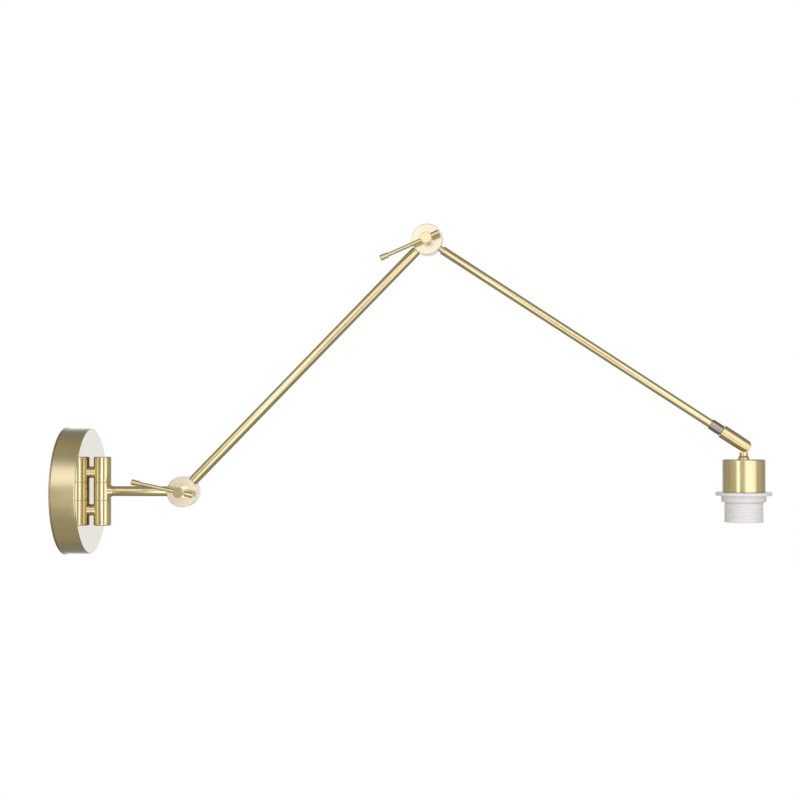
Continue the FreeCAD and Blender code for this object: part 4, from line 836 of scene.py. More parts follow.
# ---------------------------------------------------------------- workshop
class Workshop:
    """Makes, places and dresses the finished pieces."""

    def __init__(self, frame: dict) -> None:
        """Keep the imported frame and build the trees.
        """
        self.nodes = frame["nodes"]
        self.trees = GeometryTrees()
        self.made: list[bpy.types.Object] = []

    def tube(self, radius: float, wall: float, length: float, finish: Finish, edge: float = 0.15,
             segments: int = 96) -> Mesh:
        """Tube along +Z from the local origin.

        Args:
            radius: outside radius.
            wall: wall thickness.
            length: length.
            finish: its finish.
            edge: rounding of its edges.
            segments: divisions round it.

        Returns:
            The mesh.
        """
        return Bench.grown(self.trees.tube, {
            "Radius": radius, "Wall": wall, "Length": length, "Edge": edge, "Segments": segments,
            "Material": finish.material()})

    def threaded(self, mesh: Mesh, finish: Finish, floor: float, depth: float, pitch: float,
                 start: float, end: float, run_out: float = 1.0) -> Mesh:
        """Sink a thread into a turned mesh.

        Args:
            mesh: the turned mesh, divided finely along the thread.
            finish: its finish.
            floor: faces inside this radius stay as they are.
            depth: depth of the thread.
            pitch: pitch of the thread.
            start: height where it starts.
            end: height where it ends.
            run_out: length over which it fades at each end.

        Returns:
            The threaded mesh.
        """
        return Bench.grown(self.trees.thread, {
            "Floor": floor, "Depth": depth, "Pitch": pitch, "Start": start, "End": end,
            "Run-out": run_out, "Material": finish.material()}, mesh)

    def around(self, mesh: Mesh, finish: Finish, axis: Vector, count: int = 2) -> Mesh:
        """Copies of a mesh turned evenly round an axis through the local origin."""
        return self.copies(self.trees.around, mesh, finish, {
            "Count": count, "Axis": tuple(axis), "Step": 2 * math.pi / count})

    def grid(self, mesh: Mesh, finish: Finish, rows: int, columns: int, row_pitch: float,
             column_pitch: float) -> Mesh:
        """Copies of a mesh on a level grid about the local origin."""
        return self.copies(self.trees.grid, mesh, finish, {
            "Rows": rows, "Columns": columns, "Row Pitch": row_pitch, "Column Pitch": column_pitch})

    def copies(self, tree: Tree, mesh: Mesh, finish: Finish, inputs: dict) -> Mesh:
        """Evaluate one of the copying trees.

        Args:
            tree: the tree.
            mesh: the piece to copy, in its own frame.
            finish: the finish of the copies.
            inputs: the tree's other inputs.

        Returns:
            One mesh with all the copies.
        """
        self.mark_turning(mesh)
        piece = Bench.scratch(mesh)
        made = Bench.grown(tree, {"Piece": piece, "Material": finish.material(), **inputs})
        bpy.data.objects.remove(piece)
        return made

    @staticmethod
    def mark_turning(mesh: Mesh) -> None:
        """Keep each vertex's place in the piece's own frame, for the finish's grain.

        Args:
            mesh: the piece; one that is marked already stays as it is.
        """
        if "turning" in mesh.attributes:
            return
        kept = mesh.attributes.new("turning", "FLOAT_VECTOR", "POINT")
        places = [0.0] * (3 * len(mesh.vertices))
        mesh.vertices.foreach_get("co", places)
        kept.data.foreach_set("vector", places)

    def place(self, node: str, mesh: Mesh, matrix: Matrix, body: str, finish: Finish,
              flats: Optional[Finish] = None) -> None:
        """Make a finished piece of a local mesh.

        Args:
            node: the CAD node that the piece stands for.
            mesh: the piece in its own frame, in millimetres.
            matrix: from that frame to the lamp's, in metres.
            body: the body that it moves with.
            finish: its finish.
            flats: the finish of its faces square to the frame's Z, if that differs.
        """
        self.mark_turning(mesh)
        mesh.materials.clear()
        mesh.materials.append(finish.material())
        if flats is not None:
            mesh.materials.append(flats.material())
            for face in mesh.polygons:
                face.material_index = int(abs(face.normal.z) > 0.99)
        mesh.transform(matrix)
        mesh.name = node + "_mesh"
        mesh.shade_smooth()
        mesh.set_sharp_from_angle(angle=math.radians(32))
        piece = bpy.data.objects.new(node + "_piece", mesh)
        bpy.context.scene.collection.objects.link(piece)
        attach(piece, body)
        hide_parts(node)
        self.made.append(piece)
        log.info("%s: %d faces, %s", piece.name, len(mesh.polygons), finish.name)

    def refine(self, node: str, matrix: Matrix, body: str, finish: Finish, edge: float = 0.2) -> None:
        """Make a finished piece of a hidden CAD node: merged, with flat faces and broken edges.

        Args:
            node: the CAD node.
            matrix: the piece's own frame, in metres.
            body: the body that it moves with.
            finish: its finish.
            edge: width of the broken edges.
        """
        shape = bmesh.new()
        shape.from_mesh(self.nodes[node].data)
        shape.transform(matrix.inverted())
        bmesh.ops.remove_doubles(shape, verts=shape.verts, dist=0.001)
        bmesh.ops.dissolve_limit(
            shape, angle_limit=math.radians(1), verts=shape.verts, edges=shape.edges)
        mesh = mesh_from(shape)
        self.place(node, Bench.bevelled(mesh, edge), matrix, body, finish)


def hexagon_nut(shop: Workshop, across_flats: float, height: float, bore: float) -> Mesh:
    """Hexagon nut with turned chamfers.

    Args:
        shop: the workshop.
        across_flats: width across the flats.
        height: its height.
        bore: radius of its bore.

    Returns:
        The mesh, standing on the local XY plane.
    """
    chamfer = 0.7
    corner, flat = across_flats / math.sqrt(3), across_flats / 2 - 0.1
    blank = lathe([
        (bore, 0, 0.3), (flat, 0), (corner, chamfer), (corner, height - chamfer), (flat, height),
        (bore, height, 0.3),
    ], 96, closed=True)
    nut = Bench.combine(blank, Operation.TRIM, hexagon(across_flats, -1, height + 1))
    shop.mark_turning(nut)
    return nut


@dataclass(frozen=True)
class LampFrame:
    """Pivots of the lamp at rest, in metres, in the arms' middle plane."""

    swivel: Vector
    shoulder: Vector
    elbow: Vector
    tilt: Vector

    @classmethod
    def read(cls, joints: Sequence[dict]) -> "LampFrame":
        """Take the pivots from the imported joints.

        Args:
            joints: the frame's joints.

        Returns:
            The lamp's pivots.
        """
        places = {joint["name"]: Vector(joint["pos_m"]) for joint in joints if "pos_m" in joint}
        names = ("wall_swivel", "shoulder", "elbow", "head_tilt")
        return cls(*[Vector((places[name].x, 0, places[name].z)) for name in names])

    def arm(self, start: Vector, end: Vector) -> tuple[Vector, float]:
        """Direction of an arm and its length in millimetres."""
        return (end - start).normalized(), (end - start).length / MM


# ---------------------------------------------------------------- sub-assemblies
@dataclass
class WallCanopy:
    """Base ring, bracket, cover, terminal block and what fastens them."""

    radius: float = 65.5
    depth: float = CANOPY_DEPTH
    wall: float = 1.2
    plate: float = CANOPY_PLATE
    edge: float = 1.4
    lip_step: float = 1.0
    lip_thickness: float = 1.4
    collar_depth: float = 8.0
    collar_wall: float = 1.2
    collar_play: float = 0.2
    flange_width: float = 18.5
    grub_radius: float = 1.5
    grub_length: float = 5.0
    grub_sink: float = 0.2
    bracket_thickness: float = 2.0
    rivet_offset: float = 54.0
    rivet_radius: float = 2.0
    rivet_head_radius: float = 3.6
    rivet_head_height: float = 1.2
    earth_offset: float = 43.0
    earth_radius: float = 2.0
    earth_length: float = 3.2          # below the washer's underside
    earth_washer: float = 1.0
    earth_head_radius: float = 3.8
    earth_head_height: float = 2.4
    block_height: float = 12.0
    pole_pitch: float = 10.0
    terminal_spacing: float = 9.0      # between the two screws of a pole
    terminal_radius: float = 1.5
    terminal_length: float = 4.5
    terminal_head_radius: float = 2.1
    terminal_head_height: float = 2.0
    terminal_sink: float = 1.5
    segments: int = 288
    body: str = "wall_mount"

    def build(self, shop: Workshop) -> None:
        """Make all pieces on the wall side of the barrel.

        Args:
            shop: the workshop.
        """
        wall = seat(Vector(), X_AXIS, -Z_AXIS)
        # the cover's flat faces take the greyer brass, a painted reflection of the white studio
        shop.place("canopy", self.cover(), wall, self.body, BRUSHED_BRASS, PLATE_REFLECTION_BRASS)
        # the base ring wears the darker satin brass, painted shade of the gap at the wall
        shop.place("canopy_base_ring", self.base_ring(), wall, self.body, RING_SHADE_BRASS)
        shop.refine("wall_bracket", wall, self.body, ZINC_STEEL)
        shop.place("bracket_rivets", self.rivets(shop), wall, self.body, ZINC_STEEL)
        shop.place("canopy_screws", self.grub_screws(shop), wall, self.body, DARK_STEEL)
        shop.refine("terminal_block", wall, self.body, WHITE_PLASTIC, 0.35)
        shop.place("terminal_screws", self.terminal_screws(shop), wall, self.body, ZINC_STEEL)
        earth = seat(Vector((self.bracket_front * MM, self.earth_offset * MM, 0)), X_AXIS, -Z_AXIS)
        shop.refine("earth_washer", earth, self.body, ZINC_STEEL)
        shop.place("earth_screw", self.earth_screw(shop), earth, self.body, ZINC_STEEL)

    @property
    def bracket_front(self) -> float:
        """Depth of the bracket's front face, where the block and the earth screw stand."""
        return self.lip_thickness + self.bracket_thickness

    def grub_place(self) -> Matrix:
        """Frame of the upper grub screw: +Z outward, origin at the canopy's axis."""
        # in the wall frame the lamp's +Z is -X and the canopy's axis is +Z
        return facing(Vector((0, 0, self.lip_thickness + self.collar_depth / 2)), -X_AXIS, Y_AXIS)

    def cover(self) -> Mesh:
        """Drawn cover with its stand-off and grub screw holes.

        Returns:
            The cover in the wall frame: +Z away from the wall, -X up.
        """
        inner = self.radius - self.wall
        back = self.depth - self.plate
        shell = lathe([
            (0, back), (inner, back, 1.0), (inner, self.lip_thickness, 0.3),
            (self.radius, self.lip_thickness, 0.5), (self.radius, self.depth, self.edge), (0, self.depth),
        ], self.segments)
        holes = []
        for side in (-1, 1):
            hole = bar(STUD_RADIUS, back - 1, self.depth + 1)
            holes.append(shifted(hole, side * STANDOFF_HEIGHT, 0, 0))
            drill = bar(
                self.grub_radius + SCREW_PLAY, side * (self.radius - 3), side * (self.radius + 1), 48)
            holes.append(moved(drill, self.grub_place()))
        return Bench.combine(shell, Operation.CUT, *holes)

    def base_ring(self) -> Mesh:
        """Pressed ring with its lip, collar and holes.

        Returns:
            The ring in the wall frame.
        """
        lip = self.radius + self.lip_step
        outside = self.radius - self.wall - self.collar_play
        inside = outside - self.collar_wall
        top = self.lip_thickness + self.collar_depth
        opening = lip - self.flange_width
        ring = lathe([
            (opening, 0, 0.2), (lip, 0, 0.3), (lip, self.lip_thickness, 0.5),
            (outside, self.lip_thickness), (outside, top, 0.3), (inside, top, 0.3),
            (inside, self.lip_thickness, 0.8), (opening, self.lip_thickness, 0.2),
        ], self.segments, closed=True)
        holes = []
        for side in (-1, 1):
            rivet = bar(self.rivet_radius, -1, self.lip_thickness + 1, 48)
            holes.append(shifted(rivet, 0, side * self.rivet_offset, 0))
            drill = bar(self.grub_radius, side * (inside - 3), side * (outside + 3), 48)
            holes.append(moved(drill, self.grub_place()))
        return Bench.combine(ring, Operation.CUT, *holes)

    def rivets(self, shop: Workshop) -> Mesh:
        """The pair of rivets through base ring and bracket.

        Args:
            shop: the workshop.

        Returns:
            Both rivets in the wall frame.
        """
        front, head = self.bracket_front, self.rivet_head_radius
        top = front + self.rivet_head_height
        rivet = lathe([
            (0, 0), (self.rivet_radius, 0), (self.rivet_radius, front), (head, front, 0.15),
            (head, top, 0.85), (0, top),
        ], 72)
        shop.mark_turning(rivet)
        return shop.around(shifted(rivet, 0, self.rivet_offset, 0), ZINC_STEEL, Z_AXIS)

    def grub_screws(self, shop: Workshop) -> Mesh:
        """The pair of hexagon-socket grub screws in the canopy's side.

        Args:
            shop: the workshop.

        Returns:
            Both screws in the wall frame.
        """
        across_flats, socket_depth = 1.5, 2.0
        top = self.radius - self.grub_sink
        foot = top - self.grub_length
        grub = lathe([
            (0, foot), (self.grub_radius, foot, 0.3, 0.06), (self.grub_radius, top, 0.2), (0, top)], 72)
        grub = shop.threaded(
            grub, DARK_STEEL, self.grub_radius - 0.1, 0.26, 0.5, foot + 0.4, top - 0.3, 0.3)
        grub = Bench.combine(grub, Operation.CUT, hexagon(across_flats, top - socket_depth, top + 1))
        shop.mark_turning(grub)
        return shop.around(moved(grub, self.grub_place()), DARK_STEEL, Z_AXIS)

    def terminal_screws(self, shop: Workshop) -> Mesh:
        """Six slotted screws in the wells of the terminal block.

        Args:
            shop: the workshop.

        Returns:
            All six in the wall frame.
        """
        top = self.bracket_front + self.block_height - self.terminal_sink
        foot, under = top - self.terminal_length, top - self.terminal_head_height
        radius, head = self.terminal_radius, self.terminal_head_radius
        screw = lathe([
            (0, foot), (radius, foot, 0.2, 0.08), (radius, under), (head, under, 0.15), (head, top, 0.3),
            (0, top),
        ], 64)
        screw = shop.threaded(screw, ZINC_STEEL, radius - 0.1, 0.25, 0.5, foot + 0.2, under - 0.1, 0.3)
        screw = Bench.combine(screw, Operation.CUT, driver_slot(top, 3))
        return shop.grid(screw, ZINC_STEEL, 2, 3, self.terminal_spacing, self.pole_pitch)

    def earth_screw(self, shop: Workshop) -> Mesh:
        """Cheese-head earthing screw.

        Args:
            shop: the workshop.

        Returns:
            The screw, with its washer's underside on the local XY plane.
        """
        foot, under = -self.earth_length, self.earth_washer
        top = under + self.earth_head_height
        radius, head = self.earth_radius, self.earth_head_radius
        screw = lathe([
            (0, foot), (radius, foot, 0.3, 0.08), (radius, under), (head, under, 0.2), (head, top, 0.5),
            (0, top),
        ], 72)
        screw = shop.threaded(screw, ZINC_STEEL, radius - 0.1, 0.35, 0.7, foot + 0.1, under - 0.1, 0.3)
        return Bench.combine(screw, Operation.CUT, driver_slot(top, 5))


@dataclass
class BarrelSwivel:
    """The fixed lengths of the barrel, its pin and caps, and the stand-offs that carry it."""

    radius: float = BARREL_RADIUS
    half_height: float = 36.0
    cap_height: float = 2.6
    cap_edge: float = 1.3
    cap_plug: float = 4.0              # length of the plug inside the pin
    fixed_start: float = 9.6           # height where the upper fixed length starts
    pin_bore: float = 2.6
    seam: float = 0.3                  # thickness of the barrel's washers, and their step back
    standoff_radius: float = 6.1
    stud_tail: float = 9.0             # stud behind the canopy's plate
    washer_radius: float = 8.0
    washer_thickness: float = 1.2
    nut_flats: float = 13.0
    nut_height: float = 4.5
    body: str = "wall_mount"

    def build(self, shop: Workshop, lamp: LampFrame) -> None:
        """Make the pieces of the swivel that stay on the wall.

        Args:
            shop: the workshop.
            lamp: the lamp's pivots.
        """
        axis = seat(lamp.swivel, Z_AXIS, X_AXIS)
        flip = seat(lamp.swivel, -Z_AXIS, X_AXIS)
        shop.place("upper_knuckle", self.knuckle(), axis, self.body, BRIGHT_BRASS)
        shop.place("lower_knuckle", self.knuckle(), flip, self.body, BRIGHT_BRASS)
        shop.refine("swivel_tube_pin", axis, self.body, RAW_BRASS, 0.1)
        top, under = self.half_height, self.half_height - self.cap_height
        foot = under - self.cap_plug
        cap = lathe([
            (0, foot), (self.pin_bore, foot, 0.3), (self.pin_bore, under), (self.radius, under, 0.15),
            (self.radius, top, self.cap_edge), (0, top),
        ])
        shop.place("barrel_caps", shop.around(cap, BRIGHT_BRASS, X_AXIS), axis, self.body, BRIGHT_BRASS)
        rim = self.radius - self.seam
        washer = shop.tube(rim, rim - PIN_RADIUS, self.seam, WASHER_PLASTIC, 0.08)
        washers = shop.around(
            shifted(washer, 0, 0, self.fixed_start - self.seam), WASHER_PLASTIC, X_AXIS)
        shop.place("swivel_washers", washers, axis, self.body, WASHER_PLASTIC)
        self.standoffs(shop, lamp)

    def knuckle(self) -> Mesh:
        """One fixed length of the barrel, with the hole for its stand-off.

        Returns:
            The upper length: +Z up, +X away from the wall, origin at the barrel's middle.
        """
        end = self.half_height - self.cap_height
        ring = lathe([
            (PIN_RADIUS, self.fixed_start), (self.radius, self.fixed_start, 0.2), (self.radius, end, 0.15),
            (PIN_RADIUS, end),
        ], closed=True)
        hole = crosswise(bar(STUD_RADIUS, -self.radius - 1, 0), STANDOFF_HEIGHT)
        return Bench.combine(ring, Operation.CUT, hole)

    def standoffs(self, shop: Workshop, lamp: LampFrame) -> None:
        """Make the hollow studs with their washers and nuts.

        Args:
            shop: the workshop.
            lamp: the lamp's pivots.
        """
        wall = seat(Vector(), X_AXIS, -Z_AXIS)
        axis_x = lamp.swivel.x / MM
        plate_back = CANOPY_DEPTH - CANOPY_PLATE
        tail = plate_back - self.stud_tail
        solid = lathe([
            (LEAD_RADIUS, tail), (STUD_RADIUS, tail, 0.4, 0.12), (STUD_RADIUS, CANOPY_DEPTH),
            (self.standoff_radius, CANOPY_DEPTH, 0.3), (self.standoff_radius, axis_x), (LEAD_RADIUS, axis_x),
        ], 96, closed=True)
        solid = shop.threaded(
            solid, TURNED_BRASS, STUD_RADIUS - 0.3, 0.6, 1.25, tail, plate_back - 0.4, 0.8)
        barrel = moved(bar(self.radius, -60, 60, 128), facing(Vector((0, 0, axis_x)), X_AXIS, Y_AXIS))
        stud = Bench.combine(shifted(solid, -STANDOFF_HEIGHT, 0, 0), Operation.CUT, barrel)
        overlap = 0.6
        start = axis_x - math.sqrt(self.radius ** 2 - STUD_RADIUS ** 2) - overlap
        end = axis_x - PIN_RADIUS
        inner = lathe([
            (LEAD_RADIUS, start), (STUD_RADIUS, start), (STUD_RADIUS, end), (LEAD_RADIUS, end),
        ], 96, closed=True)
        stud = Bench.combine(stud, Operation.JOIN, shifted(inner, -STANDOFF_HEIGHT, 0, 0))
        studs = shop.around(stud, BRIGHT_BRASS, Z_AXIS)
        shop.place("knuckle_standoffs", studs, wall, self.body, BRIGHT_BRASS)
        seat_front = plate_back - self.washer_thickness
        washer = shop.tube(
            self.washer_radius, self.washer_radius - STUD_RADIUS, self.washer_thickness, ZINC_STEEL)
        shop.mark_turning(washer)
        washers = shop.around(shifted(washer, -STANDOFF_HEIGHT, 0, seat_front), ZINC_STEEL, Z_AXIS)
        shop.place("standoff_washers", washers, wall, self.body, ZINC_STEEL)
        nut = hexagon_nut(shop, self.nut_flats, self.nut_height, STUD_RADIUS)
        nuts = shop.around(
            shifted(nut, -STANDOFF_HEIGHT, 0, seat_front - self.nut_height), RAW_BRASS, Z_AXIS)
        shop.place("standoff_nuts", nuts, wall, self.body, RAW_BRASS)


@dataclass
class ClampJoint:
    """Shapes of one clamp joint: two hollow discs, a washer and a screw with its bar.

    The local frame of each disc has its origin at the pivot, +Z towards +Y of the lamp and +X along
    the disc's own arm. The screw's frame is the same with +X along the long side of the bar.
    """

    radius: float = 15.75
    thickness: float = 11.0
    edge: float = 0.6
    boss: float = 5.5
    rim_wall: float = 2.6
    pocket: float = 7.0
    pitch: float = 11.5                # between the middles of the two discs
    spigot_length: float = 10.0
    front_neck_gap: float = 0.2        # front rim to its arm's tube
    back_neck_gap: float = 2.1         # back rim to its arm's tube
    back_neck_radius: float = 3.1
    washer_thickness: float = 0.4
    washer_bore: float = 13.0
    washer_step: float = 0.4           # the washer is this much smaller in radius than the discs
    shank_radius: float = 3.0
    screw_depth: float = 9.0           # blind hole in the back disc
    screw_end_gap: float = 0.6
    hub_radius: float = 5.75
    hub_length: float = 16.0
    hub_gap: float = 0.2
    bar_height: float = 11.0           # bar's axis above the front disc
    bar_radius: float = 2.1
    bar_long: float = 51.0             # screw's axis to the far tip
    tip_radius: float = 3.0
    tip_length: float = 8.6
    tip_bore: float = 5.0              # how deep the bar sits in its tips
    tip_collar: float = 2.6            # from the tip's inner end to its groove
    groove_width: float = 0.7
    groove_depth: float = 0.45
    shoulder_bar_angle: float = 168.0  # long side of the bar, in degrees from +X towards +Z
    elbow_bar_angle: float = 203.6
    segments: int = 192

    @property
    def front_face(self) -> float:
        """Local height of the front disc's outer face."""
        return -self.pitch - self.thickness / 2

    def disc(self, inward: int, outer_face: float, bore: float, bore_depth: float, neck_gap: float,
             neck_radius: float, spigot_radius: float) -> Mesh:
        """Hollow disc with its neck and spigot.

        Args:
            inward: +1 or -1, the local Z direction of the mating face.
            outer_face: height of the outer face.
            bore: radius of the screw's hole.
            bore_depth: its depth from the mating face.
            neck_gap: length of the neck outside the rim.
            neck_radius: radius of the neck.
            spigot_radius: radius of the spigot inside the tube.

        Returns:
            The mesh.
        """
        inner, top = self.radius - self.rim_wall, self.thickness
        corners = [
            (self.radius, 0, self.edge), (self.radius, top, 0.25), (inner, top), (inner, top - self.pocket),
            (self.boss, top - self.pocket), (self.boss, top), (bore, top), (bore, top - bore_depth),
        ]
        through = bore_depth >= self.thickness
        if not through:
            corners = [(0, 0), *corners, (0, top - bore_depth)]
        disc = lathe(corners, self.segments, closed=through)
        disc = moved(disc, facing(Vector((0, 0, outer_face)), Z_AXIS * inward, X_AXIS))
        middle = outer_face + inward * self.thickness / 2
        root = math.sqrt(self.radius ** 2 - neck_radius ** 2) - self.rim_wall / 2
        neck_end = self.radius + neck_gap
        spigot_end = neck_end + self.spigot_length
        step = [(neck_radius, neck_end), (spigot_radius, neck_end)] if spigot_radius > neck_radius else []
        neck = lathe([
            (0, root), (neck_radius, root), *step, (spigot_radius, spigot_end, 0.4), (0, spigot_end)], 96)
        whole = Bench.combine(disc, Operation.JOIN, crosswise(neck, middle))
        lead = bar(LEAD_RADIUS, (inner + self.boss) / 2, spigot_end + 1, 64)
        return Bench.combine(whole, Operation.CUT, crosswise(lead, middle))

    def front_disc(self, tube_bore: float) -> Mesh:
        """Front disc, for a tube with this inside radius that comes close up to the rim."""
        hole = self.shank_radius + SCREW_PLAY
        return self.disc(1, self.front_face, hole, self.thickness, self.front_neck_gap, tube_bore, tube_bore)

    def back_disc(self, tube_bore: float) -> Mesh:
        """Back disc: a thin neck shows between the rim and its arm's tube.

        Args:
            tube_bore: inside radius of the arm's tube.

        Returns:
            The mesh.
        """
        hole = self.shank_radius + RUNNING_FIT
        return self.disc(
            -1, self.thickness / 2, hole, self.screw_depth, self.back_neck_gap, self.back_neck_radius,
            tube_bore)

    def washer(self, shop: Workshop) -> Mesh:
        """Friction washer lying on the back disc.

        Args:
            shop: the workshop.

        Returns:
            The washer.
        """
        rim, thickness = self.radius - self.washer_step, self.washer_thickness
        ring = shop.tube(rim, rim - self.washer_bore, thickness, WASHER_PLASTIC, 0.08, self.segments)
        return shifted(ring, 0, 0, -self.thickness / 2 - thickness)

    def screw(self, shop: Workshop) -> Mesh:
        """Clamp screw: shank, threaded end and hub with its cross hole.

        Args:
            shop: the workshop.

        Returns:
            The screw.
        """
        face, shank = self.front_face, self.shank_radius
        hub_top, hub_end = face - self.hub_gap, face - self.hub_length
        mating_face = -self.thickness / 2
        thread_start, end = mating_face + 0.3, mating_face + self.screw_depth - self.screw_end_gap
        body = lathe([
            (0, hub_end), (self.hub_radius, hub_end, 0.5), (self.hub_radius, hub_top, 0.3), (shank, hub_top),
            (shank, thread_start, 0, 0.1), (shank, end, 0.5), (0, end),
        ], 128)
        body = shop.threaded(body, TURNED_BRASS, shank - 0.1, 0.5, 1.0, thread_start, end - 0.3, 0.6)
        hole = crosswise(bar(self.bar_radius, -10, 10, 64), face - self.bar_height)
        hub = Bench.combine(body, Operation.CUT, hole)
        shop.mark_turning(hub)
        return hub

    @property
    def bar_short(self) -> float:
        """From the screw's axis to the near tip: it touches the hub."""
        return self.hub_radius + self.tip_length

    def handle(self) -> Mesh:
        """Bar through the hub.

        Returns:
            The bar: +Z along its long side, origin on the screw's axis.
        """
        solid = self.tip_length - self.tip_bore
        start, end = solid - self.bar_short, self.bar_long - solid
        return lathe([
            (0, start), (self.bar_radius, start, 0.2), (self.bar_radius, end, 0.2), (0, end)], 72)

    def tips(self) -> Mesh:
        """The two end pieces of the bar, each with a groove.

        Returns:
            Both, in the bar's frame.
        """
        length, radius, depth = self.tip_length, self.tip_radius, self.tip_bore
        floor, groove_start = radius - self.groove_depth, self.tip_collar
        groove_end = groove_start + self.groove_width
        outline = [
            (0, length), (radius, length, 0.7), (radius, groove_end, 0.15), (floor, groove_end),
            (floor, groove_start), (radius, groove_start, 0.15), (radius, 0, 0.5), (self.bar_radius, 0),
            (self.bar_radius, depth), (0, depth),
        ]
        far = shifted(lathe(outline, 96), 0, 0, self.bar_long - length)
        near = moved(lathe(outline, 96), facing(Vector((0, 0, length - self.bar_short)), -Z_AXIS, X_AXIS))
        return Bench.combine(far, Operation.JOIN, near)

    def build_screw(self, shop: Workshop, clamp: Clamp, pivot: Vector) -> None:
        """Place the clamp screw, its bar and the bar's tips.

        Args:
            shop: the workshop.
            clamp: which of the joints this is.
            pivot: the joint's pivot.
        """
        name, body = clamp.value, clamp.value + "_clamp"
        turn = math.radians(self.shoulder_bar_angle if clamp is Clamp.SHOULDER else self.elbow_bar_angle)
        long_side = Vector((math.cos(turn), 0, math.sin(turn)))
        place = seat(pivot, Y_AXIS, long_side)
        shop.place(name + "_clamp_screw", self.screw(shop), place, body, BRIGHT_BRASS)
        bar_place = seat(pivot + Y_AXIS * (self.front_face - self.bar_height) * MM, long_side, Y_AXIS)
        shop.place(name + "_clamp_bar", self.handle(), bar_place, body, SOFT_BRASS)
        shop.place(name + "_bar_tips", self.tips(), bar_place, body, SOFT_BRASS)


@dataclass
class SwingArm:
    """Turning length of the barrel, the short level tube and the shoulder's back disc."""

    knuckle_height: float = 18.4
    flare_radius: float = 7.0
    flare_length: float = 2.6
    tube_radius: float = ARM_TUBE_RADIUS
    root_spigot: float = 8.0           # plug of the knuckle inside the tube
    body: str = "swing_arm"

    def build(self, shop: Workshop, lamp: LampFrame, joint: ClampJoint) -> None:
        """Make the swing arm.

        Args:
            shop: the workshop.
            lamp: the lamp's pivots.
            joint: the shapes of the shoulder joint.
        """
        axis = seat(lamp.swivel, Z_AXIS, X_AXIS)
        shop.place("swing_knuckle", self.knuckle(), axis, self.body, BRIGHT_BRASS)
        start = BARREL_RADIUS + self.flare_length
        reach = (lamp.shoulder.x - lamp.swivel.x) / MM - joint.radius - joint.back_neck_gap
        tube = shop.tube(self.tube_radius, TUBE_WALL, reach - start, DRAWN_BRASS, 0.3)
        place = seat(lamp.swivel + X_AXIS * start * MM, X_AXIS, Y_AXIS)
        shop.place("swing_tube", tube, place, self.body, DRAWN_BRASS)
        back = seat(lamp.shoulder, Y_AXIS, -X_AXIS)
        disc = joint.back_disc(self.tube_radius - TUBE_WALL)
        shop.place("shoulder_back_disc", disc, back, self.body, SATIN_BRASS)
        shop.place("shoulder_washer", joint.washer(shop), back, self.body, WASHER_PLASTIC)

    def knuckle(self) -> Mesh:
        """Turning knuckle with the flared root of the arm.

        Returns:
            The knuckle: +Z up the barrel, +X along the arm.
        """
        half = self.knuckle_height / 2
        body = lathe([(0, -half), (BARREL_RADIUS, -half, 0.2), (BARREL_RADIUS, half, 0.2), (0, half)], 192)
        reach = BARREL_RADIUS + self.flare_length
        plug, plug_end = self.tube_radius - TUBE_WALL, reach + self.root_spigot
        sink = math.sqrt(BARREL_RADIUS ** 2 - self.flare_radius ** 2)
        flare = lathe([
            (0, 0), (self.flare_radius, 0), (self.flare_radius, sink + 0.4, 0.3),
            (self.tube_radius, reach - 0.3, 0.5), (self.tube_radius, reach), (plug, reach),
            (plug, plug_end, 0.3), (0, plug_end),
        ], 128)
        whole = Bench.combine(body, Operation.JOIN, crosswise(flare))
        pin = bar(PIN_RADIUS + RUNNING_FIT, -half - 1, half + 1)
        lead = crosswise(bar(LEAD_RADIUS, 0, plug_end + 1))
        return Bench.combine(whole, Operation.CUT, pin, lead)


@dataclass
class LowerArm:
    """Long tube between the front discs of both clamp joints."""

    tube_radius: float = ARM_TUBE_RADIUS
    body: str = "lower_arm"

    def build(self, shop: Workshop, lamp: LampFrame, joint: ClampJoint) -> None:
        """Make the lower arm.

        Args:
            shop: the workshop.
            lamp: the lamp's pivots.
            joint: the shapes of the clamp joints.
        """
        direction, length = lamp.arm(lamp.shoulder, lamp.elbow)
        bore = self.tube_radius - TUBE_WALL
        near = seat(lamp.shoulder, Y_AXIS, direction)
        far = seat(lamp.elbow, Y_AXIS, -direction)
        shop.place("shoulder_front_disc", joint.front_disc(bore), near, self.body, SATIN_BRASS)
        shop.place("elbow_front_disc", joint.front_disc(bore), far, self.body, SATIN_BRASS)
        inset = joint.radius + joint.front_neck_gap
        tube = shop.tube(self.tube_radius, TUBE_WALL, length - 2 * inset, DRAWN_BRASS, 0.25)
        start = lamp.shoulder + direction * inset * MM - Y_AXIS * joint.pitch * MM
        shop.place("lower_tube", tube, seat(start, direction, Y_AXIS), self.body, DRAWN_BRASS)


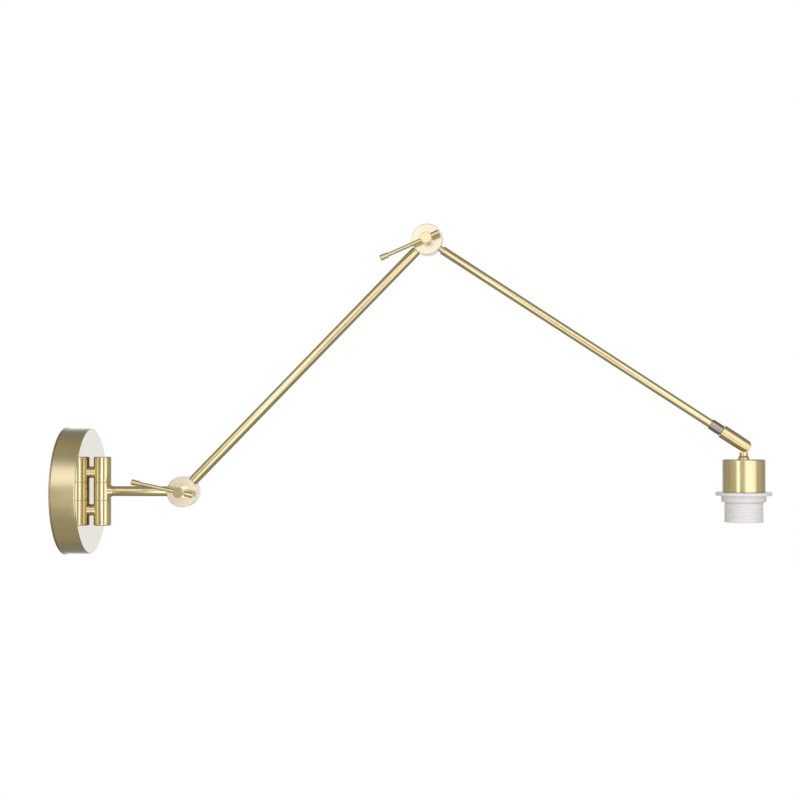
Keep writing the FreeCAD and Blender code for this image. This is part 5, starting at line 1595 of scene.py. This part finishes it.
@dataclass
class UpperArm:
    """Elbow's back disc, the thinner tube and the dark collar that the head turns in."""

    tube_radius: float = 4.5
    collar_radius: float = 5.6
    collar_length: float = 13.2
    collar_gap: float = 0.4            # collar's end to the fork
    collar_spigot: float = 10.0        # plug of the collar inside the tube
    swivel_bore: float = 3.65
    groove_radius: float = 4.4
    groove_inset: float = 0.9          # from the end of the fork's spigot
    groove_width: float = 1.2
    end_wall: float = 1.6              # between the tube's end and the swivel bore
    body: str = "upper_arm"

    def build(self, shop: Workshop, lamp: LampFrame, joint: ClampJoint) -> None:
        """Make the upper arm.

        Args:
            shop: the workshop.
            lamp: the lamp's pivots.
            joint: the shapes of the elbow joint.
        """
        direction, length = lamp.arm(lamp.elbow, lamp.tilt)
        place = seat(lamp.elbow, Y_AXIS, direction)
        disc = joint.back_disc(self.tube_radius - TUBE_WALL)
        shop.place("elbow_back_disc", disc, place, self.body, SATIN_BRASS)
        shop.place("elbow_washer", joint.washer(shop), place, self.body, WASHER_PLASTIC)
        inset = joint.radius + joint.back_neck_gap
        collar_end = length - FORK_LENGTH - self.collar_gap
        collar_start = collar_end - self.collar_length
        tube = shop.tube(self.tube_radius, TUBE_WALL, collar_start - inset, DRAWN_BRASS, 0.3)
        start = seat(lamp.elbow + direction * inset * MM, direction, Y_AXIS)
        shop.place("upper_tube", tube, start, self.body, DRAWN_BRASS)
        arm = seat(lamp.elbow, direction, Y_AXIS)
        shop.place("head_collar", self.collar(collar_start, collar_end), arm, self.body, DARK_BRONZE)
        shop.refine("turn_retaining_ring", arm, self.body, DARK_STEEL, 0.12)

    def collar(self, start: float, end: float) -> Mesh:
        """Collar with its plug, swivel bore and retaining groove.

        Args:
            start: distance of its inner end from the elbow.
            end: distance of its outer end.

        Returns:
            The collar: +Z along the arm, origin at the elbow.
        """
        plug, plug_start = self.tube_radius - TUBE_WALL, start - self.collar_spigot
        floor = start + self.end_wall
        bore, groove = self.swivel_bore, self.groove_radius
        groove_start = end + self.collar_gap - TURN_SPIGOT_LENGTH + self.groove_inset
        groove_end = groove_start + self.groove_width
        return lathe([
            (LEAD_RADIUS, plug_start), (plug, plug_start, 0.3), (plug, start),
            (self.collar_radius, start, 0.4), (self.collar_radius, end, 0.4), (bore, end),
            (bore, groove_end), (groove, groove_end), (groove, groove_start), (bore, groove_start),
            (bore, floor), (LEAD_RADIUS, floor),
        ], 144, closed=True)


@dataclass
class HeadSwivel:
    """Fork that turns in the collar, with the tilt screw and its washers."""

    radius: float = 6.95
    length: float = FORK_LENGTH
    slot: float = 5.0
    slot_depth: float = 7.4            # slot's floor behind the pivot
    bore: float = 1.8
    spigot_radius: float = 3.6
    spigot_length: float = TURN_SPIGOT_LENGTH
    screw_radius: float = TILT_SCREW_RADIUS
    head_radius: float = 3.4
    head_depth: float = 2.2
    thread_depth: float = 2.8          # blind hole in the front cheek
    washer_radius: float = 5.0
    washer_thickness: float = 0.3
    body: str = "head_swivel"

    def build(self, shop: Workshop, lamp: LampFrame) -> None:
        """Make the head's swivel.

        Args:
            shop: the workshop.
            lamp: the lamp's pivots.
        """
        direction, _ = lamp.arm(lamp.elbow, lamp.tilt)
        # the fork wears the darker, greener brass, painted shade
        shop.place("head_fork", self.fork(), seat(lamp.tilt, direction, Y_AXIS), self.body, FORK_SHADE_BRASS)
        cross = seat(lamp.tilt, Y_AXIS, direction)
        shop.place("tilt_screw", self.screw(shop), cross, self.body, RAW_BRASS)
        rim, thickness = self.washer_radius, self.washer_thickness
        washer = shop.tube(rim, rim - self.screw_radius, thickness, WASHER_PLASTIC, 0.08)
        washer = shifted(washer, 0, 0, self.slot / 2 - thickness)
        washers = shop.around(washer, WASHER_PLASTIC, X_AXIS)
        shop.place("tilt_washers", washers, cross, self.body, WASHER_PLASTIC)

    def round_end(self) -> Mesh:
        """Cutter with the fork's side view, round about the pivot at its front end.

        Returns:
            A plate over the whole fork, in the fork's frame.
        """
        parts, back, half_width = 48, -self.length - 1, 10
        outline = [(back, -self.radius - 0.01), (0, -self.radius - 0.01)]
        for part in range(1, parts):
            turn = math.radians(-90 + 180 * part / parts)
            outline.append((self.radius * math.cos(turn), self.radius * math.sin(turn)))
        outline += [(0, self.radius + 0.01), (back, self.radius + 0.01)]
        return moved(prism(outline, -half_width, half_width), facing(Vector(), X_AXIS, Z_AXIS))

    def fork(self) -> Mesh:
        """Fork with its spigot, slot, lead bore and seat for the tilt screw.

        Returns:
            The fork: +Z along the arm, +X towards +Y of the lamp, origin at the pivot.
        """
        shoulder, end = -self.length, -self.length - self.spigot_length
        body = lathe([
            (0, shoulder), (self.radius, shoulder, 0.5), (self.radius, self.radius), (0, self.radius)], 192)
        body = Bench.combine(body, Operation.TRIM, self.round_end())
        spigot = lathe([
            (0, end), (self.spigot_radius, end, 0.3), (self.spigot_radius, shoulder + 1), (0, shoulder + 1),
        ], 96)
        body = Bench.combine(body, Operation.JOIN, spigot)
        half = self.slot / 2
        slot = block((-half, -10, -self.slot_depth), (half, 10, 20))
        lead = bar(self.bore, end - 1, -self.slot_depth + 1, 48)
        hole = crosswise(bar(self.screw_radius, -half - self.thread_depth, self.radius + 1, 64))
        sunk = crosswise(bar(self.head_radius, self.radius - self.head_depth, self.radius + 2, 96))
        body = Bench.combine(body, Operation.CUT, slot, lead, hole, sunk)
        return Bench.bevelled(body, 0.22, 50)

    def screw(self, shop: Workshop) -> Mesh:
        """Slotted tilt screw, its head rounded like the fork.

        Args:
            shop: the workshop.

        Returns:
            The screw: +Z towards its head, origin at the pivot.
        """
        inner_face = -self.slot / 2
        foot, under = inner_face - self.thread_depth + 0.1, self.radius - self.head_depth
        shank, head = self.screw_radius, self.head_radius - RUNNING_FIT
        body = lathe([
            (0, foot), (shank, foot, 0.3, 0.08), (shank, inner_face), (shank, under), (head, under, 0.1),
            (head, self.radius), (0, self.radius),
        ], 96)
        body = shop.threaded(body, RAW_BRASS, shank - 0.1, 0.3, 0.7, foot, inner_face, 0.4)
        round_top = moved(bar(self.radius - 0.02, -20, 20, 192), facing(Vector(), X_AXIS, Y_AXIS))
        body = Bench.combine(body, Operation.TRIM, round_top)
        body = Bench.combine(body, Operation.CUT, driver_slot(self.radius, 5))
        shop.mark_turning(body)
        return body


@dataclass
class Lampholder:
    """Tongue, cone, cup and the white lampholder with its contacts, hung below the tilt pivot.

    Heights are measured downwards from the pivot.
    """

    tongue_radius: float = 6.3
    tongue_thickness: float = 4.2
    web: float = 8.0
    neck_start: float = 7.4
    neck_end: float = 10.7
    neck_radius: float = 4.4
    cone_radius: float = 5.9
    cone_land: float = 1.2
    nipple_radius: float = 4.0
    cup_top: float = 14.3
    cup_radius: float = 21.8
    cup_height: float = 33.2
    cup_wall: float = 0.8
    cup_edge: float = 1.4
    cap_radius: float = 19.2
    cap_height: float = 20.7
    cap_wall: float = 1.6
    cap_plate: float = 2.0
    locknut_flats: float = 13.0
    locknut_height: float = 4.0
    nipple_tail: float = 1.5           # nipple below the locknut
    neck_hole: float = 1.4             # the leads' way out of the neck
    skirt_radius: float = 19.73        # crests of the outside thread
    skirt_bore: float = 17.3
    skirt_length: float = 42.35
    thread_depth: float = 0.75
    thread_pitch: float = 2.5
    mouth_lip: float = 1.0             # inward lip that holds the insert
    mouth_lip_thickness: float = 1.6
    insert_gap: float = 1.0            # holder cap to insert
    insert_base: float = 12.0
    shell_bore: float = 13.3
    shell_wall: float = 0.6
    shell_length: float = 22.0
    shell_inset: float = 2.0
    contact_offset: float = 9.0        # contact screws beside the axis
    contact_radius: float = 1.5
    contact_head_radius: float = 2.8
    contact_head_height: float = 2.0
    body: str = "lamp_head"

    def build(self, shop: Workshop, lamp: LampFrame) -> None:
        """Make everything that tilts with the head, apart from the shade ring.

        Args:
            shop: the workshop.
            lamp: the lamp's pivots.
        """
        down = seat(lamp.tilt, -Z_AXIS, X_AXIS)
        shop.place("head_tongue", self.tongue(), down, self.body, TURNED_BRASS)
        shop.place("head_cone", self.cone(), down, self.body, TURNED_BRASS)
        shop.place("lampholder_cup", self.cup(), down, self.body, SOFT_BRASS)
        nut = hexagon_nut(shop, self.locknut_flats, self.locknut_height, self.nipple_radius)
        shop.place("cup_locknut", shifted(nut, 0, 0, self.locknut_top), down, self.body, ZINC_STEEL)
        shop.place("lampholder_cap", self.cap(), down, self.body, WHITE_PLASTIC)
        shop.place("lampholder_skirt", self.skirt(shop), down, self.body, WHITE_PLASTIC)
        shop.place("lampholder_insert", self.insert(), down, self.body, WHITE_PLASTIC)
        shop.place("screw_shell", self.screw_shell(), down, self.body, RAW_BRASS)
        shop.refine("centre_contact", down, self.body, RAW_BRASS, 0.08)
        shop.refine("shell_contact", down, self.body, RAW_BRASS, 0.08)
        shop.place("contact_screws", self.contact_screws(shop), down, self.body, ZINC_STEEL)

    @property
    def locknut_top(self) -> float:
        """Height of the locknut's upper face, under the holder cap's plate."""
        return self.cup_top + self.cup_wall + self.cap_plate

    @property
    def cap_end(self) -> float:
        """Height of the joint between holder cap and skirt."""
        return self.cup_top + self.cup_wall + self.cap_height

    @property
    def skirt_end(self) -> float:
        """Height of the skirt's mouth."""
        return self.cap_end + self.skirt_length

    @property
    def insert_start(self) -> float:
        """Height of the insert's upper face."""
        return self.cap_end + self.insert_gap

    @property
    def insert_end(self) -> float:
        """Height of the insert's rim, on the skirt's inward lip."""
        return self.skirt_end - self.mouth_lip_thickness

    def tongue(self) -> Mesh:
        """Eye, web, neck and nipple, bored for the tilt screw and the leads.

        Returns:
            The tongue in the head's frame: +Z down, +X away from the wall.
        """
        half, eye_radius = self.tongue_thickness / 2, self.tongue_radius
        across = facing(Vector(), Y_AXIS, X_AXIS)
        eye = lathe([(0, -half), (eye_radius, -half, 0.25), (eye_radius, half, 0.25), (0, half)], 128)
        web = block((-self.web / 2, -half, 0), (self.web / 2, half, self.neck_start + 0.5))
        end = self.locknut_top + self.locknut_height + self.nipple_tail
        neck = lathe([
            (0, self.neck_start), (self.neck_radius, self.neck_start, 0.3),
            (self.neck_radius, self.neck_end), (self.nipple_radius, self.neck_end, 0, 0.12),
            (self.nipple_radius, end, 0.4), (0, end),
        ], 128)
        body = Bench.combine(moved(eye, across), Operation.JOIN, web, neck)
        middle = (self.neck_start + self.neck_end) / 2
        lead = bar(LEAD_RADIUS, middle, end + 1, 64)
        side_hole = crosswise(bar(self.neck_hole, 0, 10, 48), middle)
        pivot = moved(bar(TILT_SCREW_RADIUS + RUNNING_FIT, -10, 10, 64), across)
        return Bench.combine(body, Operation.CUT, lead, side_hole, pivot)

    def cone(self) -> Mesh:
        """Flared nut on the cup.

        Returns:
            The cone in the head's frame.
        """
        top, base, rim = self.neck_end, self.cup_top, self.cone_radius
        return lathe([
            (self.nipple_radius, base), (rim, base, 0.2), (rim, base - self.cone_land, 0.4),
            (self.neck_radius, top, 0.15), (self.nipple_radius, top),
        ], 128, closed=True)

    def cup(self) -> Mesh:
        """Brass cup, open below.

        Returns:
            The cup in the head's frame.
        """
        top, outer = self.cup_top, self.cup_radius
        inner, plate, mouth = outer - self.cup_wall, top + self.cup_wall, top + self.cup_height
        return lathe([
            (self.nipple_radius, top), (outer, top, self.cup_edge), (outer, mouth, 0.3), (inner, mouth, 0.3),
            (inner, plate, self.cup_edge - self.cup_wall), (self.nipple_radius, plate),
        ], 256, closed=True)

    def cap(self) -> Mesh:
        """Plastic cap of the holder, under the cup's top.

        Returns:
            The cap in the head's frame.
        """
        top, outer, end = self.cup_top + self.cup_wall, self.cap_radius, self.cap_end
        inner = outer - self.cap_wall
        return lathe([
            (self.nipple_radius, top), (outer, top, 0.8), (outer, end, 0.2), (inner, end, 0.2),
            (inner, self.locknut_top, 0.6), (self.nipple_radius, self.locknut_top),
        ], 160, closed=True)

    def skirt(self, shop: Workshop) -> Mesh:
        """White skirt with the outside thread for a shade.

        Args:
            shop: the workshop.

        Returns:
            The skirt in the head's frame.
        """
        start, end = self.cap_end, self.skirt_end
        thread_start = self.cup_top + self.cup_height
        bore, lip = self.skirt_bore, self.skirt_bore - self.mouth_lip
        skirt = lathe([
            (bore, start), (self.cap_radius, start, 0.2), (self.cap_radius, thread_start),
            (self.skirt_radius, thread_start, 0, 0.16), (self.skirt_radius, end - 0.9),
            (self.skirt_radius, end, 0.6), (lip, end, 0.4), (lip, self.insert_end), (bore, self.insert_end),
        ], 192, closed=True)
        return shop.threaded(
            skirt, WHITE_PLASTIC, self.cap_radius + 0.2, self.thread_depth, self.thread_pitch, thread_start,
            end - 1.2, 0.9)

    def insert(self) -> Mesh:
        """Insulating insert round the screw shell, with two holes for the contact screws.

        Returns:
            The insert in the head's frame.
        """
        start, end, outer = self.insert_start, self.insert_end, self.skirt_bore - 0.1
        floor, well = start + self.insert_base, self.shell_bore + self.shell_wall
        insert = lathe([
            (0, start), (outer, start, 0.4), (outer, end, 0.3), (well, end, 0.4), (well, floor, 0.5),
            (0, floor),
        ], 160)
        holes = []
        for side in (-1, 1):
            hole = bar(self.contact_radius, start - 1, floor + 1, 48)
            holes.append(shifted(hole, side * self.contact_offset, 0, 0))
        return Bench.combine(insert, Operation.CUT, *holes)

    def screw_shell(self) -> Mesh:
        """Shell that the lamp screws into.

        Returns:
            The shell in the head's frame.
        """
        end = self.insert_end - self.shell_inset
        start, outer = end - self.shell_length, self.shell_bore + self.shell_wall
        return lathe([
            (self.shell_bore, end, 0.15, 0.3), (self.shell_bore, start, 0.15), (outer, start, 0.15, 0.3),
            (outer, end, 0.15),
        ], 160, closed=True)

    def contact_screws(self, shop: Workshop) -> Mesh:
        """The pair of slotted screws that hold the contacts, their heads upwards.

        Args:
            shop: the workshop.

        Returns:
            Both in the head's frame.
        """
        under, foot = self.insert_start, self.insert_start + self.insert_base + 0.5
        top = under - self.contact_head_height
        radius, head = self.contact_radius, self.contact_head_radius
        screw = lathe([
            (0, foot), (radius, foot, 0.2, 0.08), (radius, under), (head, under, 0.2), (head, top, 0.5),
            (0, top),
        ], 72)
        screw = shop.threaded(screw, ZINC_STEEL, radius - 0.1, 0.25, 0.6, under, foot - 0.2, 0.4)
        slot = moved(driver_slot(-top, 4), facing(Vector(), -Z_AXIS, Y_AXIS))
        screw = Bench.combine(screw, Operation.CUT, slot)
        shop.mark_turning(screw)
        return shop.around(shifted(screw, self.contact_offset, 0, 0), ZINC_STEEL, Z_AXIS)


@dataclass
class ShadeRing:
    """White ring that runs on the skirt's thread and clamps a shade against the cup."""

    bore: float = 19.95
    flange_radius: float = 28.5
    flange_thickness: float = 3.4
    flange_edge: float = 0.8
    collar_radius: float = 22.7
    collar_height: float = 6.6
    collar_edge: float = 1.6
    top: float = 47.7                  # below the tilt pivot
    body: str = "shade_ring"

    def build(self, shop: Workshop, lamp: LampFrame) -> None:
        """Make the ring.

        Args:
            shop: the workshop.
            lamp: the lamp's pivots.
        """
        top, rim, edge = self.top, self.flange_radius, self.flange_edge
        flange_end = top + self.flange_thickness
        end = flange_end + self.collar_height
        ring = lathe([
            (self.bore, top, 0.3), (rim, top, edge), (rim, flange_end, edge),
            (self.collar_radius, flange_end, 0.5), (self.collar_radius, end, self.collar_edge),
            (self.bore, end, 0.3),
        ], 256, closed=True)
        shop.place("shade_ring", ring, seat(lamp.tilt, -Z_AXIS, X_AXIS), self.body, WHITE_PLASTIC)


# ---------------------------------------------------------------- studio
@dataclass(frozen=True)
class SoftLight:
    """Rectangular soft light that the camera doesn't see."""

    name: str
    centre: tuple[float, float, float]
    size: tuple[float, float]
    radiance: float
    towards: tuple[float, float, float]
    colour: Colour = (1.0, 0.99, 1.2)

    def build(self) -> None:
        """Make the light."""
        data = bpy.data.lights.new(self.name, "AREA")
        data.shape = "RECTANGLE"
        data.size, data.size_y = self.size
        data.energy = self.radiance * math.pi * self.size[0] * self.size[1]
        data.color = self.colour
        light = bpy.data.objects.new(self.name, data)
        light.location = self.centre
        light.rotation_euler = Vector(self.towards).to_track_quat("-Z", "Z").to_euler()
        light.visible_camera = False
        bpy.context.scene.collection.objects.link(light)


@dataclass
class Studio:
    """Camera, plain floor and soft light of the photograph."""

    camera_place: tuple[float, float, float] = (0.4913, -1.7259, 0.0739)
    camera_turn: float = 4.651      # degrees to the left of +Y
    camera_rise: float = 0.698      # degrees above level
    lens: float = 75.47
    floor_middle: float = 0.35
    floor_height: float = -0.9
    floor_radius: float = 1.5
    floor_thickness: float = 0.02
    wash_height: float = 0.12       # soft light above the floor, facing down
    wash_width: float = 2.2         # in floor radii
    wash_radiance: float = 0.62
    wash_colour: Colour = (1.0, 0.98, 0.96)
    window_plane: float = -0.82
    # soft panels in the window plane: name, left, right, bottom, top, radiance
    panels: tuple[tuple[str, float, float, float, float, float], ...] = (
        ("panel_far_left", -1.20, -0.45, 0.25, 1.30, 0.75),
        ("panel_left_high", -0.45, 0.06, 0.19, 0.85, 0.80),
        ("panel_left_low", 0.00, 0.23, -0.20, 0.19, 1.70),
        ("panel_high", 0.07, 0.66, 0.22, 0.85, 0.76),
        ("panel_low", -0.10, 0.66, -0.80, -0.15, 0.90),
        ("panel_right", 0.70, 1.45, -0.55, 1.20, 0.93),
        ("panel_far_right", 1.45, 2.20, -0.45, 0.95, 0.74),
    )

    def build(self) -> None:
        """Set up the whole studio."""
        self.camera()
        self.world()
        self.floor()
        for name, left, right, bottom, top, radiance in self.panels:
            centre = ((left + right) / 2, self.window_plane, (bottom + top) / 2)
            SoftLight(name, centre, (right - left, top - bottom), radiance, (0, 1, 0)).build()
        bpy.context.scene.view_settings.view_transform = "Standard"

    def camera(self) -> None:
        """Place the camera of the photograph."""
        data = bpy.data.cameras.new("camera")
        data.lens = self.lens
        data.sensor_width = 36.0
        data.clip_start = 0.01
        camera = bpy.data.objects.new("camera", data)
        camera.location = self.camera_place
        camera.rotation_euler = (
            math.radians(90 + self.camera_rise), 0, math.radians(self.camera_turn))
        bpy.context.scene.collection.objects.link(camera)
        bpy.context.scene.camera = camera

    def world(self) -> None:
        """White all round for the camera; dimmer, and darkest to the sides, in reflections."""
        world = bpy.data.worlds.new("studio")
        world.use_nodes = True
        bpy.context.scene.world = world
        graph = Graph(world.node_tree)
        way = graph.add("ShaderNodeTexCoord").outputs["Generated"]
        parts = graph.add("ShaderNodeSeparateXYZ", {0: way})
        place = graph.math("MULTIPLY_ADD", parts.outputs["Y"], 0.5, 0.5)
        level = graph.ramp(place, [
            (0.0, (0.46, 0.44, 0.37)), (0.55, (0.46, 0.44, 0.37)), (0.72, (0.34, 0.32, 0.27)),
            (0.90, (0.30, 0.29, 0.26)), (0.96, (0.87, 0.87, 0.87))])
        rise = graph.math("ABSOLUTE", parts.outputs["Z"])
        dimmer = graph.add(
            "ShaderNodeMapRange",
            {"Value": rise, "From Min": 0.20, "From Max": 0.55, "To Min": 1.0, "To Max": 0.68})
        studio = graph.add("ShaderNodeBackground", {"Color": level, "Strength": dimmer.outputs["Result"]})
        backdrop = graph.add("ShaderNodeBackground", {"Color": (1, 1, 1, 1)})
        seen = graph.add("ShaderNodeLightPath").outputs["Is Camera Ray"]
        both = graph.add("ShaderNodeMixShader", {0: seen, 1: studio.outputs[0], 2: backdrop.outputs[0]})
        graph.add("ShaderNodeOutputWorld", {"Surface": both.outputs[0]})

    def floor(self) -> None:
        """Pale round floor well below the lamp, with a soft light of its own."""
        radius, under = self.floor_radius / MM, -self.floor_thickness / MM
        disc = lathe([(0, under), (radius, under, 5), (radius, 0, 5), (0, 0)], 96)
        disc.transform(
            Matrix.Translation((self.floor_middle, 0, self.floor_height)) @ Matrix.Scale(MM, 4))
        finish = PlasticFinish(
            "floor_pale", "", (0.86, 0.86, 0.86), (0.84, 0.84, 0.84), (0.6, 0.7), coat=0.0)
        disc.materials.append(finish.material())
        disc.shade_smooth()
        disc.set_sharp_from_angle(angle=math.radians(32))
        floor = bpy.data.objects.new("floor", disc)
        floor.visible_glossy = False
        floor.visible_diffuse = False
        bpy.context.scene.collection.objects.link(floor)
        width = self.wash_width * self.floor_radius
        SoftLight(
            "floor_wash", (self.floor_middle, 0, self.floor_height + self.wash_height), (width, width),
            self.wash_radiance, (0, 0, -1), self.wash_colour).build()


def main() -> None:
    """Build the lamp's looks in the order of its structure, from the wall to the lamp."""
    logging.basicConfig(level=logging.INFO, format="%(message)s")
    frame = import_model()
    # the studio brings its own camera and lights
    for thing in [o for o in bpy.context.scene.collection.objects if o.type in ("CAMERA", "LIGHT")]:
        bpy.data.objects.remove(thing)
    lamp = LampFrame.read(frame["joints"])
    shop = Workshop(frame)
    joint = ClampJoint()
    WallCanopy().build(shop)
    BarrelSwivel().build(shop, lamp)
    SwingArm().build(shop, lamp, joint)
    joint.build_screw(shop, Clamp.SHOULDER, lamp.shoulder)
    LowerArm().build(shop, lamp, joint)
    UpperArm().build(shop, lamp, joint)
    joint.build_screw(shop, Clamp.ELBOW, lamp.elbow)
    HeadSwivel().build(shop, lamp)
    Lampholder().build(shop, lamp)
    ShadeRing().build(shop, lamp)
    Studio().build()
    faces = sum(len(piece.data.polygons) for piece in shop.made)
    log.info("%d pieces, %d faces", len(shop.made), faces)


if __name__ == "__main__":
    main()
